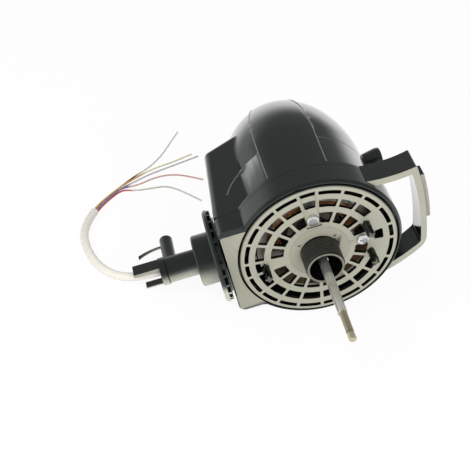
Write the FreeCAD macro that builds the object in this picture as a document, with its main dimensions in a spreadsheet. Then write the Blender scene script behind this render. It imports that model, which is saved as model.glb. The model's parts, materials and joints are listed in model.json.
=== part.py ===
import FreeCAD, Part
import math
import os
import re

import Sketcher

Vector = FreeCAD.Vector
Placement = FreeCAD.Placement
Rotation = FreeCAD.Rotation

os.makedirs("parts", exist_ok=True)
doc = FreeCAD.newDocument("FanMotorHead")

# Driving dimensions, in millimetres and degrees.
# X points away from the neck, Y from the cover back to the dome, Z to the side that lies uppermost.
SIZES = [
    # slotted front cover
    ("cover_radius", 64.3, "outer radius of the slotted cover"),
    ("cover_depth", 8.0, "depth of the cover's skirt"),
    ("cover_plate", 3.0, "thickness of the cover's plate"),
    ("cover_wall", 2.4, "wall of the cover's skirt"),
    ("cover_edge", 3.0, "rounding of the cover's front edge"),
    ("slot_outer_inside", 56.8, "outer slots, inner radius"),
    ("slot_outer_outside", 60.2, "outer slots, outer radius"),
    ("slot_middle_inside", 44.5, "middle slots, inner radius"),
    ("slot_middle_outside", 51.9, "middle slots, outer radius"),
    ("slot_inner_inside", 29.0, "inner slots, inner radius"),
    ("slot_inner_outside", 39.2, "inner slots, outer radius"),
    ("bridge_width", 2.5, "width of the bars between slots"),
    ("bridge_near", 7.0, "angle of the bar beside a narrow slot"),
    ("bridge_next", 27.0, "angle of the second bar"),
    ("channel_slope", 1.2, "how much the screw channel sinks at the boss"),
    ("channel_end", 0.5, "how much the screw channel sinks at the rim"),
    ("channel_half", 6.0, "half the width of the screw channel"),
    ("standoff_radius", 4.6, "radius of a stand-off behind a cover screw"),
    ("post_radius", 3.1, "half the width of a ribbed post"),
    ("post_height", 15.0, "height of a ribbed post"),
    ("post_rib", 1.5, "thickness of a post's cross ribs"),
    ("post_right_place", 42.5, "distance of the right posts from the shaft axis"),
    ("post_right_angle", 20.5, "angle of the right posts either side of the handle"),
    ("post_left_place", 44.5, "distance of the left post from the shaft axis"),
    # threaded boss
    ("boss_radius", 15.6, "outer radius of the boss thread"),
    ("boss_length", 20.4, "length of the boss in front of the cover"),
    ("boss_bore", 13.0, "bore radius of the boss"),
    ("boss_flange", 24.0, "radius of the boss flange"),
    ("boss_flange_depth", 1.6, "thickness of the boss flange"),
    ("boss_notch_place", 18.6, "distance of the notches from the shaft axis"),
    ("boss_notch", 1.3, "radius of a notch"),
    ("boss_notch_first", 40.0, "angle of the first notch"),
    ("boss_notch_second", 142.0, "angle of the second notch"),
    ("boss_key_half", 0.8, "half the width of the flange key"),
    ("boss_key_length", 3.0, "how far the flange key stands out"),
    ("boss_spigot", 4.0, "how far the boss reaches behind the cover"),
    ("seat_gap", 0.15, "gap of a piece in its seat"),
    ("press_gap", 0.02, "gap of a piece pressed on its shaft"),
    # cover screws
    ("screw_head", 5.0, "radius of a cover screw's head"),
    ("screw_head_height", 2.3, "height of a cover screw's head"),
    ("screw_shank", 2.0, "radius of a cover screw's shank"),
    ("screw_reach", 15.0, "length of a cover screw's shank"),
    ("screw_top_place", 33.0, "distance of the upper and lower screws from the shaft axis"),
    ("screw_side_place", 35.2, "distance of the side screw from the shaft axis"),
    # casing
    ("shell_seam", 22.0, "depth of the seam between the shells"),
    ("shell_wall", 2.5, "wall of the shells"),
    ("seam_gap", 0.3, "gap at the shells' seams"),
    ("barrel_radius", 60.5, "radius of the rear shell's barrel"),
    ("dome_start", 84.0, "depth where the dome begins"),
    ("dome_end", 177.0, "depth of the dome's rear end"),
    ("box_front", 1.5, "depth of the box's front face"),
    ("box_reach", 5.5, "distance of the box's neck face beyond the rim"),
    ("box_half", 44.0, "half the width of the box"),
    ("box_corner", 6.0, "rounding of the box's long edges"),
    ("box_lip", 1.2, "how much the front face stays inside the neck face"),
    ("box_bevel", 4.2, "how much the front face stays inside the long sides"),
    ("box_back", 107.0, "depth of the box's rear end at the neck face"),
    ("box_slant", 17.0, "how much further back the box's rear end lies at its inner end"),
    ("box_blend", 7.0, "rounding between the box and the barrel"),
    ("flange_back", 26.0, "depth of the rear side of the rear shell's front flange"),
    ("box_taper", 6.5, "how much the neck face leans in at the rear end"),
    ("groove_width", 1.0, "width of the groove round the cover"),
    ("rim_width", 3.7, "how far the casing's rim stands outside the cover"),
    ("rim_bevel", 1.7, "how much the rim's front edge falls away"),
    ("bevel_depth", 2.0, "depth of the bevel round the front of box and rim"),
    ("band_half", 24.0, "half the width of the raised band over the dome"),
    ("band_height", 0.6, "height of the raised band"),
    ("band_start", 30.0, "depth where the raised band begins"),
    ("line_depth", 70.0, "depth of the moulded line round the barrel"),
    ("line_width", 0.8, "width of the moulded line"),
    ("line_sink", 0.4, "depth of the moulded line"),
    ("tower_radius", 5.5, "radius of the tower for the rear screw"),
    ("rear_screw_shank", 1.8, "radius of the rear screw's shank"),
    ("rear_screw_head", 4.2, "radius of the rear screw's head"),
    ("rear_screw_height", 2.6, "height of the rear screw's head"),
    ("rear_screw_sink", 6.0, "how deep the rear screw's head lies in the dome"),
    # carry handle
    ("handle_reach", 93.0, "distance of the middle of the handle's bar from the shaft axis"),
    ("handle_bow", 3.7, "how much the bar bows outwards between its ends"),
    ("handle_half", 41.3, "half the width of the handle at the bar"),
    ("handle_root", 44.0, "distance of the handle's root from the shaft axis"),
    ("handle_spread", 9.2, "how much further apart the arms stand at the root than at the bar"),
    ("handle_bar", 5.8, "thickness of the handle's outer bar"),
    ("handle_arm", 5.9, "thickness of the handle's arms"),
    ("handle_front_root", 6.0, "depth of the handle's front edge at the root"),
    ("handle_front_middle", 9.9, "depth of the handle's front edge half way"),
    ("handle_front_outer", 19.5, "depth of the handle's front edge at the outer bar"),
    ("handle_back_root", 26.0, "depth of the handle's rear edge at the root"),
    ("handle_back_middle", 30.7, "depth of the handle's rear edge half way"),
    ("handle_back", 42.0, "depth of the handle's rear edge at the outer bar"),
    ("handle_corner", 3.0, "outer rounding of the handle's upper corner"),
    ("handle_low_corner", 9.0, "outer rounding of the handle's lower corner"),
    ("handle_inner_corner", 2.5, "inner rounding of the handle's corners"),
    ("pad_thickness", 3.9, "thickness of the grip pad"),
    ("pad_low", -17.0, "lower end of the grip pad"),
    ("pad_high", 28.5, "upper end of the grip pad"),
    ("pad_front", 1.0, "distance of the pad's front end behind the bar's front edge"),
    ("pad_width", 12.5, "width of the grip pad"),
    ("pad_gap", 0.05, "gap between the pad and the bar"),
    # motor
    ("shaft_radius", 4.0, "radius of the shaft"),
    ("shaft_tip_radius", 3.0, "radius of the shaft's thinner end"),
    ("shaft_shoulder", 69.5, "distance of the shoulder in front of the cover"),
    ("shaft_reach", 97.5, "distance of the shaft's tip in front of the cover"),
    ("shaft_flat", 0.7, "depth of the shaft's flats"),
    ("shaft_groove", 0.5, "depth of the groove near the tip"),
    ("groove_place", 8.0, "distance of the groove's inner side from the shaft's tip"),
    ("groove_length", 2.0, "length of the groove"),
    ("flat_end", 12.0, "distance of the flat's inner end in front of the cover"),
    ("shaft_rear_radius", 2.5, "radius of the shaft's rear end"),
    ("running_gap", 0.05, "radial gap of a shaft in its bearing"),
    ("air_gap", 0.4, "gap between rotor and stator"),
    ("rotor_radius", 22.0, "radius of the rotor"),
    ("stack_front", 32.0, "depth of the stator stack's front face"),
    ("stack_length", 30.0, "length of the stator stack"),
    ("stator_radius", 44.0, "outer radius of the stator stack"),
    ("stator_slot_depth", 12.0, "depth of a stator slot"),
    ("stator_slot_width", 5.0, "width of a stator slot"),
    ("stator_slots", 12, "slots of the stator stack"),
    ("winding_inside", 25.0, "inner radius of the end windings"),
    ("winding_outside", 41.0, "outer radius of the end windings"),
    ("winding_length", 12.5, "how far the end windings stand out of the stack"),
    ("winding_round", 4.5, "rounding of the end windings"),
    ("end_ring_length", 6.0, "length of a rotor end ring"),
    ("end_ring_inside", 13.0, "inner radius of a rotor end ring"),
    ("bracket_radius", 48.0, "outer radius of the cast brackets"),
    ("bracket_rim", 5.0, "width of the brackets' rim"),
    ("bracket_web", 4.0, "thickness of a bracket's spokes"),
    ("spoke_half", 4.6, "half the width of a bracket's spoke"),
    ("bracket_hub", 11.5, "radius of a bracket's hub"),
    ("bracket_hub_length", 12.0, "length of a bracket's hub"),
    ("bracket_front", 9.0, "depth of the front bracket's front face"),
    ("bracket_rear", 79.0, "depth of the rear bracket's rear face"),
    ("bearing_radius", 8.0, "outer radius of a bearing"),
    ("bolt_place", 45.8, "distance of the through bolts from the shaft axis"),
    ("bolt_radius", 1.5, "radius of a through bolt"),
    # gearbox
    ("gear_depth", 104.0, "depth of the wheel spindle"),
    ("gear_side", 12.5, "offset of the wheel spindle from the shaft axis"),
    ("worm_radius", 4.2, "outer radius of the worm"),
    ("worm_length", 12.0, "length of the worm"),
    ("mesh_gap", 0.3, "gap between worm and wheel"),
    ("wheel_teeth", 22, "teeth of the worm wheel"),
    ("wheel_tooth", 1.3, "height of a wheel tooth"),
    ("wheel_half", 3.5, "half the thickness of the worm wheel"),
    ("spindle_radius", 3.0, "radius of the wheel spindle"),
    ("case_front", 79.15, "depth of the gearbox's front face"),
    ("case_side_low", -24.0, "lower side of the gearbox"),
    ("case_side_high", 8.0, "upper side of the gearbox"),
    ("case_back", 122.0, "depth of the gearbox's rear face"),
    ("case_low", -31.0, "neck side of the gearbox"),
    ("case_high", 16.0, "knob side of the gearbox"),
    ("case_wall", 2.5, "wall of the gearbox"),
    ("lid_thickness", 3.0, "thickness of the gearbox lid"),
    ("lid_screw_height", 1.6, "height of the lid screws' heads"),
    ("lid_screw_inset", 3.4, "distance of a lid screw from the gearbox's corner"),
    ("lid_screw_shank", 1.2, "radius of a lid screw's shank"),
    ("lid_screw_length", 9.0, "length of a lid screw"),
    ("crank_radius", 6.0, "throw of the crank"),
    ("crank_disc", 10.5, "radius of the crank disc"),
    ("crank_thickness", 3.5, "thickness of the crank disc"),
    ("crank_place", -35.0, "upper face of the crank disc"),
    ("crank_pin", 2.2, "radius of the crank pin"),
    ("link_thickness", 2.5, "thickness of the drive link"),
    ("link_place", -42.0, "face of the drive link on the crank side"),
    ("link_eye", 5.0, "radius of the drive link's eyes"),
    ("link_joggle", 6.5, "offset between the drive link's two ends"),
    ("part_gap", 0.4, "gap between pieces that move past each other"),
    # knob
    ("knob_base", 1.3, "gap between the collar and the knob"),
    ("knob_length", 16.4, "length of the knob"),
    ("knob_inner", 6.6, "radius of the knob's inner end"),
    ("knob_outer", 8.8, "radius of the knob's outer end"),
    ("knob_round", 2.4, "rounding of the knob's outer end"),
    ("knob_stem_radius", 3.5, "radius of the knob stem"),
    ("knob_travel", 8.0, "travel of the knob"),
    ("collar_radius", 6.0, "radius of the collar round the knob stem"),
    ("collar_reach", 2.0, "how far the collar stands out of the barrel"),
    # neck
    ("neck_depth", 28.0, "depth of the neck axis"),
    ("post_hole_gap", 0.3, "gap of the swivel post in the box"),
    ("swivel_post", 13.5, "radius of the swivel post"),
    ("swivel_bore", 6.0, "bore radius of the swivel post"),
    ("rocker_neck", 9.0, "radius of the post under its rocker arm"),
    ("rocker_place", -58.0, "outer face of the rocker arm"),
    ("rocker_thickness", 3.0, "thickness of the rocker arm"),
    ("rocker_pin_length", 3.5, "length of the rocker pin"),
    ("washer_radius", 31.0, "radius of the swivel washer"),
    ("washer_thickness", 4.0, "thickness of the swivel washer"),
    ("flange_radius", 38.0, "radius of the swivel flange"),
    ("flange_thickness", 3.6, "thickness of the swivel flange"),
    ("flange_ribs", 24, "ribs round the swivel flange"),
    ("flange_rib_half", 1.2, "half the width of a flange rib"),
    ("flange_rib_height", 2.4, "height of a flange rib"),
    ("collar_neck_radius", 21.0, "radius of the neck collar"),
    ("collar_neck_length", 14.5, "length of the neck collar"),
    ("collar_key_half", 3.0, "half the width of the key on the neck collar"),
    ("collar_key_height", 1.6, "height of the key on the neck collar"),
    ("stem_radius", 10.6, "radius of the neck stem"),
    ("stem_bore", 7.2, "bore radius of the neck stem"),
    ("stem_length", 30.0, "length of the neck stem beyond the collar"),
    ("stem_floor", 4.0, "thickness of the wall behind the stem's bore"),
    ("stem_lip_radius", 11.4, "radius of the stem's end lip"),
    ("stem_lip_length", 5.0, "length of the stem's end lip"),
    ("peg_place", 21.0, "distance of the locking peg from the collar"),
    ("peg_radius", 5.5, "radius of the locking peg"),
    ("peg_reach", 36.5, "distance of the peg's end from the neck axis"),
    ("tongue_length", 21.0, "length of the tongue beyond the stem"),
    ("tongue_half", 5.5, "half the width of the tongue"),
    ("tongue_thickness", 2.8, "thickness of the tongue"),
    ("tongue_place", 6.5, "distance of the tongue from the neck axis"),
    ("peg_round", 1.5, "rounding of the peg's end"),
    ("hook_length", 19.3, "length of the snap hook beyond the peg"),
    ("hook_place", 29.3, "distance of the snap hook from the neck axis"),
    ("hook_drop", 4.6, "how much the snap hook bends down"),
    ("hook_barb", 1.6, "height of the barb at the hook's end"),
    ("hook_half", 0.9, "half the width of the snap hook"),
    ("hook_thickness", 1.4, "thickness of the snap hook"),
    ("lip_length", 15.0, "length of the lower lip beyond the stem"),
    ("lip_half", 3.2, "half the width of the lower lip"),
    ("lip_thickness", 1.2, "thickness of the lower lip"),
    ("ring_radius", 16.0, "radius of the retaining ring"),
    ("ring_thickness", 1.5, "thickness of the retaining ring"),
    # cable
    ("sheath_radius", 3.5, "radius of the cable sheath"),
    ("core_radius", 0.75, "radius of a core"),
]

sheet = doc.addObject("Spreadsheet::Sheet", "Sizes")
for row, (alias, number, meaning) in enumerate(SIZES, start=1):
    sheet.set(f"A{row}", alias)
    sheet.set(f"B{row}", str(number))
    sheet.set(f"C{row}", meaning)
    sheet.setAlias(f"B{row}", alias)
doc.recompute()
VALUES = {alias: float(number) for alias, number, meaning in SIZES}


# Lengths that follow from other sizes, used by these names in the expressions
FOLLOWING = {
    "rim_radius": "cover_radius + rim_width",
    "neck_face": "cover_radius + rim_width + box_reach",
    "knob_start": "barrel_radius + collar_reach + knob_base",
    "bar_round": "( handle_half ^ 2 + handle_bow ^ 2 ) / ( 2 * handle_bow )",
}


def size(name):
    """The number in the sheet's cell of that name."""
    return float(sheet.get(name))


def bound(text):
    """An expression on the sheet, from plain size names such as 'shaft_radius + running_gap'."""
    for name, meaning in FOLLOWING.items():
        text = re.sub(rf"\b{name}\b", f"( {meaning} )", text)
    return re.sub("[a-z_]+", lambda word: ("Sizes." if word[0] in VALUES else "") + word[0], text)


def worth(text):
    """The number that an expression of size names comes to."""
    total = FreeCAD.ActiveDocument.getObject("Sizes").evalExpression(bound(text))
    return float(getattr(total, "Value", total))


# The head lies on its side: the ring's rim and the box's rounded lower edge touch the ground together
CORNER_X = worth("neck_face - box_corner")
CORNER_Z = worth("box_half - box_corner")
CORNER_REACH = math.hypot(CORNER_X, CORNER_Z)
LIE_ANGLE = math.atan2(CORNER_X, CORNER_Z) - math.acos(worth("rim_radius - box_corner") / CORNER_REACH)
LYING = Placement(Vector(0, 0, 0), Rotation(Vector(0, 1, 0), -math.degrees(LIE_ANGLE)))

NODES = []


def new_body(label, x="0", y="0", z="0"):
    """A body whose own origin stands at the given place of the head, turned with the lying head."""
    body = doc.addObject("PartDesign::Body", label)
    body.Label = label
    body.Placement = LYING.multiply(Placement(Vector(worth(x), worth(y), worth(z)), Rotation()))
    NODES.append(body)
    return body


def origin_feature(body, role):
    return next(item for item in body.Origin.OriginFeatures if item.Role == role)


def new_sketch(body, name, role, offset="0"):
    """A sketch on one of the body's own planes, moved along that plane's normal by the offset."""
    sketch = body.newObject("Sketcher::SketchObject", name)
    sketch.AttachmentSupport = [(origin_feature(body, role), "")]
    sketch.MapMode = "FlatFace"
    if offset != "0":
        sketch.setExpression("AttachmentOffset.Base.z", bound(offset))
    return sketch


def pin_point(sketch, line, end, x, y):
    """Hold one point of the sketch at two expressions of the sizes."""
    for kind, text in (("DistanceX", x), ("DistanceY", y)):
        number = sketch.addConstraint(Sketcher.Constraint(kind, -1, 1, line, end, worth(text)))
        sketch.setExpression(f"Constraints[{number}]", bound(text))


def polygon(sketch, corners):
    """A closed outline of straight lines whose corners stand at expressions of the sizes."""
    points = [Vector(worth(x), worth(y), 0) for x, y in corners]
    count = len(points)
    first = sketch.GeometryCount
    for start, end in zip(points, points[1:] + points[:1]):
        sketch.addGeometry(Part.LineSegment(start, end))
    for index in range(count):
        joined = first + (index + 1) % count
        sketch.addConstraint(Sketcher.Constraint("Coincident", first + index, 2, joined, 1))
    for index, (x, y) in enumerate(corners):
        pin_point(sketch, first + index, 1, x, y)


def circle(sketch, radius, x="0", y="0"):
    centre = Vector(worth(x), worth(y), 0)
    index = sketch.addGeometry(Part.Circle(centre, Vector(0, 0, 1), worth(radius)))
    number = sketch.addConstraint(Sketcher.Constraint("Radius", index, worth(radius)))
    sketch.setExpression(f"Constraints[{number}]", bound(radius))
    pin_point(sketch, index, 3, x, y)


def pad(body, sketch, length, back=False, middle=False):
    """Push the sketch out along its normal, or against it with back."""
    feature = body.newObject("PartDesign::Pad", sketch.Name + "_pad")
    feature.Profile = sketch
    feature.setExpression("Length", bound(length))
    feature.Reversed = back
    feature.Midplane = middle
    return feature


def pocket(body, sketch, length="", back=False, middle=False):
    """Cut against the sketch's normal, or along it with back; with no length, through everything."""
    feature = body.newObject("PartDesign::Pocket", sketch.Name + "_pocket")
    feature.Profile = sketch
    if length:
        feature.setExpression("Length", bound(length))
    else:
        feature.Type = 1
    feature.Reversed = back
    feature.Midplane = middle
    return feature


def turn(body, sketch, axis="V_Axis", cut=False, sweep="360", middle=False):
    """Turn the sketch about one of its own axes, as a solid or as a cut."""
    kind = "PartDesign::Groove" if cut else "PartDesign::Revolution"
    feature = body.newObject(kind, sketch.Name + "_turn")
    feature.Profile = sketch
    feature.ReferenceAxis = (sketch, [axis])
    feature.setExpression("Angle", bound(sweep))
    feature.Midplane = middle
    return feature


def repeat_round(body, feature, count, role="Y_Axis"):
    pattern = body.newObject("PartDesign::PolarPattern", feature.Name + "_round")
    pattern.Originals = [feature]
    pattern.Axis = (origin_feature(body, role), [""])
    pattern.Angle = 360
    pattern.setExpression("Occurrences", bound(count))
    body.Tip = pattern
    return pattern


def soften(body, base, radius, chosen, kind="PartDesign::Fillet"):
    """Round or bevel the edges of the last feature that the test picks."""
    doc.recompute()
    names = [f"Edge{index}" for index, edge in enumerate(base.Shape.Edges, start=1) if chosen(edge)]
    feature = body.newObject(kind, base.Name + "_soft")
    feature.Base = (base, names)
    feature.setExpression("Radius" if kind.endswith("Fillet") else "Size", bound(radius))
    return feature


def ring_edge(radius, place, axis=1):
    """A test for a full circle of that radius round the body's own axis at that place along it."""
    def chosen(edge):
        if edge.Degenerated or not isinstance(edge.Curve, Part.Circle):
            return False
        curve = edge.Curve
        return abs(curve.Radius - worth(radius)) < 1e-4 and abs(curve.Center[axis] - worth(place)) < 1e-4
    return chosen


def straight(edge):
    """Whether an edge is a straight line; the seam of a pole has no curve at all."""
    if edge.Degenerated or edge.Length < 1e-3:
        return False
    return isinstance(edge.Curve, (Part.Line, Part.LineSegment))


def turned(label, corners, role="XY_Plane", axis="V_Axis", **place):
    """A body made by turning one closed outline."""
    body = new_body(label, **place)
    sketch = new_sketch(body, label + "_outline", role)
    polygon(sketch, corners)
    turn(body, sketch, axis)
    return body


def set_shape(label, solids):
    """A group of like solids, placed with the lying head."""
    feature = doc.addObject("Part::Feature", label)
    feature.Label = label
    feature.Shape = Part.makeCompound(solids)
    feature.Placement = LYING
    NODES.append(feature)
    return feature


# Slotted front cover

def slot_bars():
    """Angles of the bars between the slots, all the way round."""
    near = size("bridge_near")
    following = size("bridge_next")
    quarter = [near, following, 45, 90 - following, 90 - near]
    return [90 * turns + bar for turns in range(4) for bar in quarter]


def add_slots(sketch, inside, outside, blanks):
    """One ring of slots: each a piece of a ring between two bars whose sides run parallel."""
    bars = slot_bars()
    half_bar = size("bridge_width") / 2
    for index, start in enumerate(bars):
        end = bars[(index + 1) % len(bars)]
        if end < start:
            end += 360
        middle = ((start + end) / 2) % 360
        if any(abs((middle - blank + 180) % 360 - 180) < 1 for blank in blanks):
            continue
        corners = {}
        for name, radius in (("inner", inside), ("outer", outside)):
            lean = math.asin(half_bar / radius)
            for side, angle in (("first", math.radians(start) + lean), ("last", math.radians(end) - lean)):
                corners[name, side] = Vector(radius * math.cos(angle), radius * math.sin(angle), 0)
            angle = math.radians(start + end) / 2
            corners[name, "middle"] = Vector(radius * math.cos(angle), radius * math.sin(angle), 0)
        inner = [corners["inner", place] for place in ("first", "middle", "last")]
        outer = [corners["outer", place] for place in ("last", "middle", "first")]
        sketch.addGeometry(Part.Arc(*inner))
        sketch.addGeometry(Part.LineSegment(corners["inner", "last"], corners["outer", "last"]))
        sketch.addGeometry(Part.Arc(*outer))
        sketch.addGeometry(Part.LineSegment(corners["outer", "first"], corners["inner", "first"]))


def plus_outline(x, y, turned_by):
    """Corners of a cross of two ribs standing at a place given by distance and angle."""
    reach = size("post_radius")
    rib = size("post_rib") / 2
    shape = [(reach, -rib), (reach, rib), (rib, rib), (rib, reach), (-rib, reach), (-rib, rib),
             (-reach, rib), (-reach, -rib), (-rib, -rib), (-rib, -reach), (rib, -reach), (rib, -rib)]
    turned_way = Rotation(Vector(0, 0, 1), turned_by)
    return [Vector(x, y, 0) + turned_way.multVec(Vector(a, b, 0)) for a, b in shape]


def post_places():
    right = size("post_right_place")
    spread = size("post_right_angle")
    return [(right, spread), (right, -spread), (size("post_left_place"), 180.0)]


# Where the slots leave a gap for the screws and the posts, in degrees from +X
SLOTS_LEFT_OUT = {"outer": [], "middle": [17, 343], "inner": [0, 90, 180]}
CHANNEL_START = "( boss_flange + seat_gap + 1.5 )"


def make_front_cover():
    body = new_body("front_cover")
    outline = new_sketch(body, "cover_outline", "XY_Plane")
    polygon(outline, [
        ("boss_radius + seat_gap", "boss_flange_depth + seat_gap"),
        ("boss_flange + seat_gap", "boss_flange_depth + seat_gap"),
        ("boss_flange + seat_gap", "0"),
        ("cover_radius", "0"),
        ("cover_radius", "cover_depth"),
        ("cover_radius - cover_wall", "cover_depth"),
        ("cover_radius - cover_wall", "cover_plate"),
        ("boss_radius + seat_gap", "cover_plate"),
    ])
    plate = turn(body, outline)
    soften(body, plate, "cover_edge", ring_edge("cover_radius", "0"))
    standoffs = new_sketch(body, "cover_standoffs", "XZ_Plane", "- cover_plate + 0.5")
    circle(standoffs, "standoff_radius", "screw_side_place", "0")
    circle(standoffs, "standoff_radius", "0", "screw_top_place")
    pad(body, standoffs, "bracket_front - seat_gap - cover_plate + 0.5", back=True)
    channel = new_sketch(body, "cover_channel", "YZ_Plane")
    polygon(channel, [
        ("- 1", CHANNEL_START),
        ("channel_slope", CHANNEL_START),
        ("channel_end", "cover_radius - cover_edge"),
        ("- 1", "cover_radius - cover_edge"),
    ])
    pocket(body, channel, "2 * channel_half", middle=True)
    key = new_sketch(body, "cover_keyway", "XZ_Plane")
    polygon(key, [
        ("boss_flange - 1", "- boss_key_half - seat_gap"),
        ("boss_flange + boss_key_length + seat_gap", "- boss_key_half - seat_gap"),
        ("boss_flange + boss_key_length + seat_gap", "boss_key_half + seat_gap"),
        ("boss_flange - 1", "boss_key_half + seat_gap"),
    ])
    pocket(body, key, "boss_flange_depth + seat_gap")
    holes = new_sketch(body, "cover_screw_holes", "XZ_Plane", "5")
    circle(holes, "screw_shank + seat_gap", "screw_side_place", "0")
    circle(holes, "screw_shank + seat_gap", "0", "screw_top_place")
    pocket(body, holes)
    for name, blanks in SLOTS_LEFT_OUT.items():
        slots = new_sketch(body, "slots_" + name, "XZ_Plane", "5")
        inside = size(f"slot_{name}_inside")
        outside = size(f"slot_{name}_outside")
        add_slots(slots, inside, outside, blanks)
        pocket(body, slots)
    for number, (distance, angle) in enumerate(post_places()):
        post = new_sketch(body, f"post_{number}", "XZ_Plane", "- 0.5")
        away = math.radians(angle)
        corners = plus_outline(distance * math.cos(away), distance * math.sin(away), angle)
        for start, end in zip(corners, corners[1:] + corners[:1]):
            post.addGeometry(Part.LineSegment(start, end))
        pad(body, post, "post_height + 0.5")
    return body


def make_threaded_boss():
    body = new_body("threaded_boss")
    outline = new_sketch(body, "boss_outline", "XY_Plane")
    polygon(outline, [
        ("boss_bore", "- boss_length"),
        ("boss_radius - 0.6", "- boss_length"),
        ("boss_radius", "0.6 - boss_length"),
        ("boss_radius", "0"),
        ("boss_flange", "0"),
        ("boss_flange", "boss_flange_depth"),
        ("boss_radius", "boss_flange_depth"),
        ("boss_radius", "cover_plate + boss_spigot"),
        ("boss_bore", "cover_plate + boss_spigot"),
    ])
    turn(body, outline)
    key = new_sketch(body, "boss_key", "XZ_Plane")
    polygon(key, [
        ("boss_flange - 1", "- boss_key_half"),
        ("boss_flange + boss_key_length", "- boss_key_half"),
        ("boss_flange + boss_key_length", "boss_key_half"),
        ("boss_flange - 1", "boss_key_half"),
    ])
    pad(body, key, "boss_flange_depth", back=True)
    notches = new_sketch(body, "boss_notches", "XZ_Plane", "1")
    for angle in ("boss_notch_first", "boss_notch_second"):
        across = f"boss_notch_place * cos({angle} * 1deg)"
        upward = f"boss_notch_place * sin({angle} * 1deg)"
        circle(notches, "boss_notch", across, upward)
    pocket(body, notches, "1 + boss_flange_depth / 2")
    return body


def cross_recess(radius, depth):
    """A cross-shaped cutter, centred on the origin and reaching down along +Y."""
    half = radius * 0.14
    reach = radius * 0.55
    arms = [Part.makeBox(2 * reach, depth, 2 * half, Vector(-reach, 0, -half)),
            Part.makeBox(2 * half, depth, 2 * reach, Vector(-half, 0, -reach))]
    return arms[0].fuse(arms[1])


def pan_screw(head, height, shank, reach):
    """A pan-head screw along +Y, its head's seat at the origin and its head towards -Y."""
    dome = Part.makeCylinder(head, height, Vector(0, 0, 0), Vector(0, -1, 0))
    rim = [edge for edge in dome.Edges if abs(edge.CenterOfMass.y + height) < 1e-4 and edge.Length > head]
    dome = dome.makeFillet(height * 0.55, rim)
    dome = dome.cut(cross_recess(head, height * 0.6).translated(Vector(0, -height, 0)))
    return dome.fuse(Part.makeCylinder(shank, reach, Vector(0, 0, 0), Vector(0, 1, 0))).removeSplitter()


def make_cover_screws():
    screws = []
    outer_side = f"( screw_top_place + screw_head - {CHANNEL_START} )"
    across = f"{outer_side} / ( cover_radius - cover_edge - {CHANNEL_START} )"
    sunk = worth(f"channel_slope + ( channel_end - channel_slope ) * {across}")
    places = [(size("screw_side_place"), 0.0, 0.0), (0.0, sunk, size("screw_top_place"))]
    head = size("screw_head")
    for x, y, z in places:
        screw = pan_screw(head, size("screw_head_height"), size("screw_shank"), size("screw_reach"))
        screw.translate(Vector(x, y, z))
        screws.append(screw)
    return set_shape("cover_screws", screws)


# Casing

def box_outline(sketch, inset="0", side_inset="0", corner="box_corner"):
    """The box seen from the front, from inside the ring to its rounded neck side."""
    side = -worth(f"neck_face - {side_inset}")
    half = worth(f"box_half - {inset}")
    bend = worth(corner)
    inner = -worth("barrel_radius / 2")
    low = Vector(side + bend, bend - half, 0)
    high = Vector(side + bend, half - bend, 0)
    lean = bend * math.sqrt(0.5)
    sketch.addGeometry(Part.LineSegment(Vector(inner, -half, 0), Vector(side + bend, -half, 0)))
    sketch.addGeometry(Part.Arc(Vector(side + bend, -half, 0), low + Vector(-lean, -lean, 0),
                                Vector(side, bend - half, 0)))
    sketch.addGeometry(Part.LineSegment(Vector(side, bend - half, 0), Vector(side, half - bend, 0)))
    sketch.addGeometry(Part.Arc(Vector(side, half - bend, 0), high + Vector(-lean, lean, 0),
                                Vector(side + bend, half, 0)))
    sketch.addGeometry(Part.LineSegment(Vector(side + bend, half, 0), Vector(inner, half, 0)))
    sketch.addGeometry(Part.LineSegment(Vector(inner, half, 0), Vector(inner, -half, 0)))


def cut_post_hole(body):
    """The hole in the box's neck face for the swivel post."""
    hole = new_sketch(body, body.Label + "_post_hole", "YZ_Plane", "rocker_place")
    circle(hole, "swivel_post + post_hole_gap", "neck_depth", "0")
    pocket(body, hole, "neck_face + rocker_place + 5")


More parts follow.
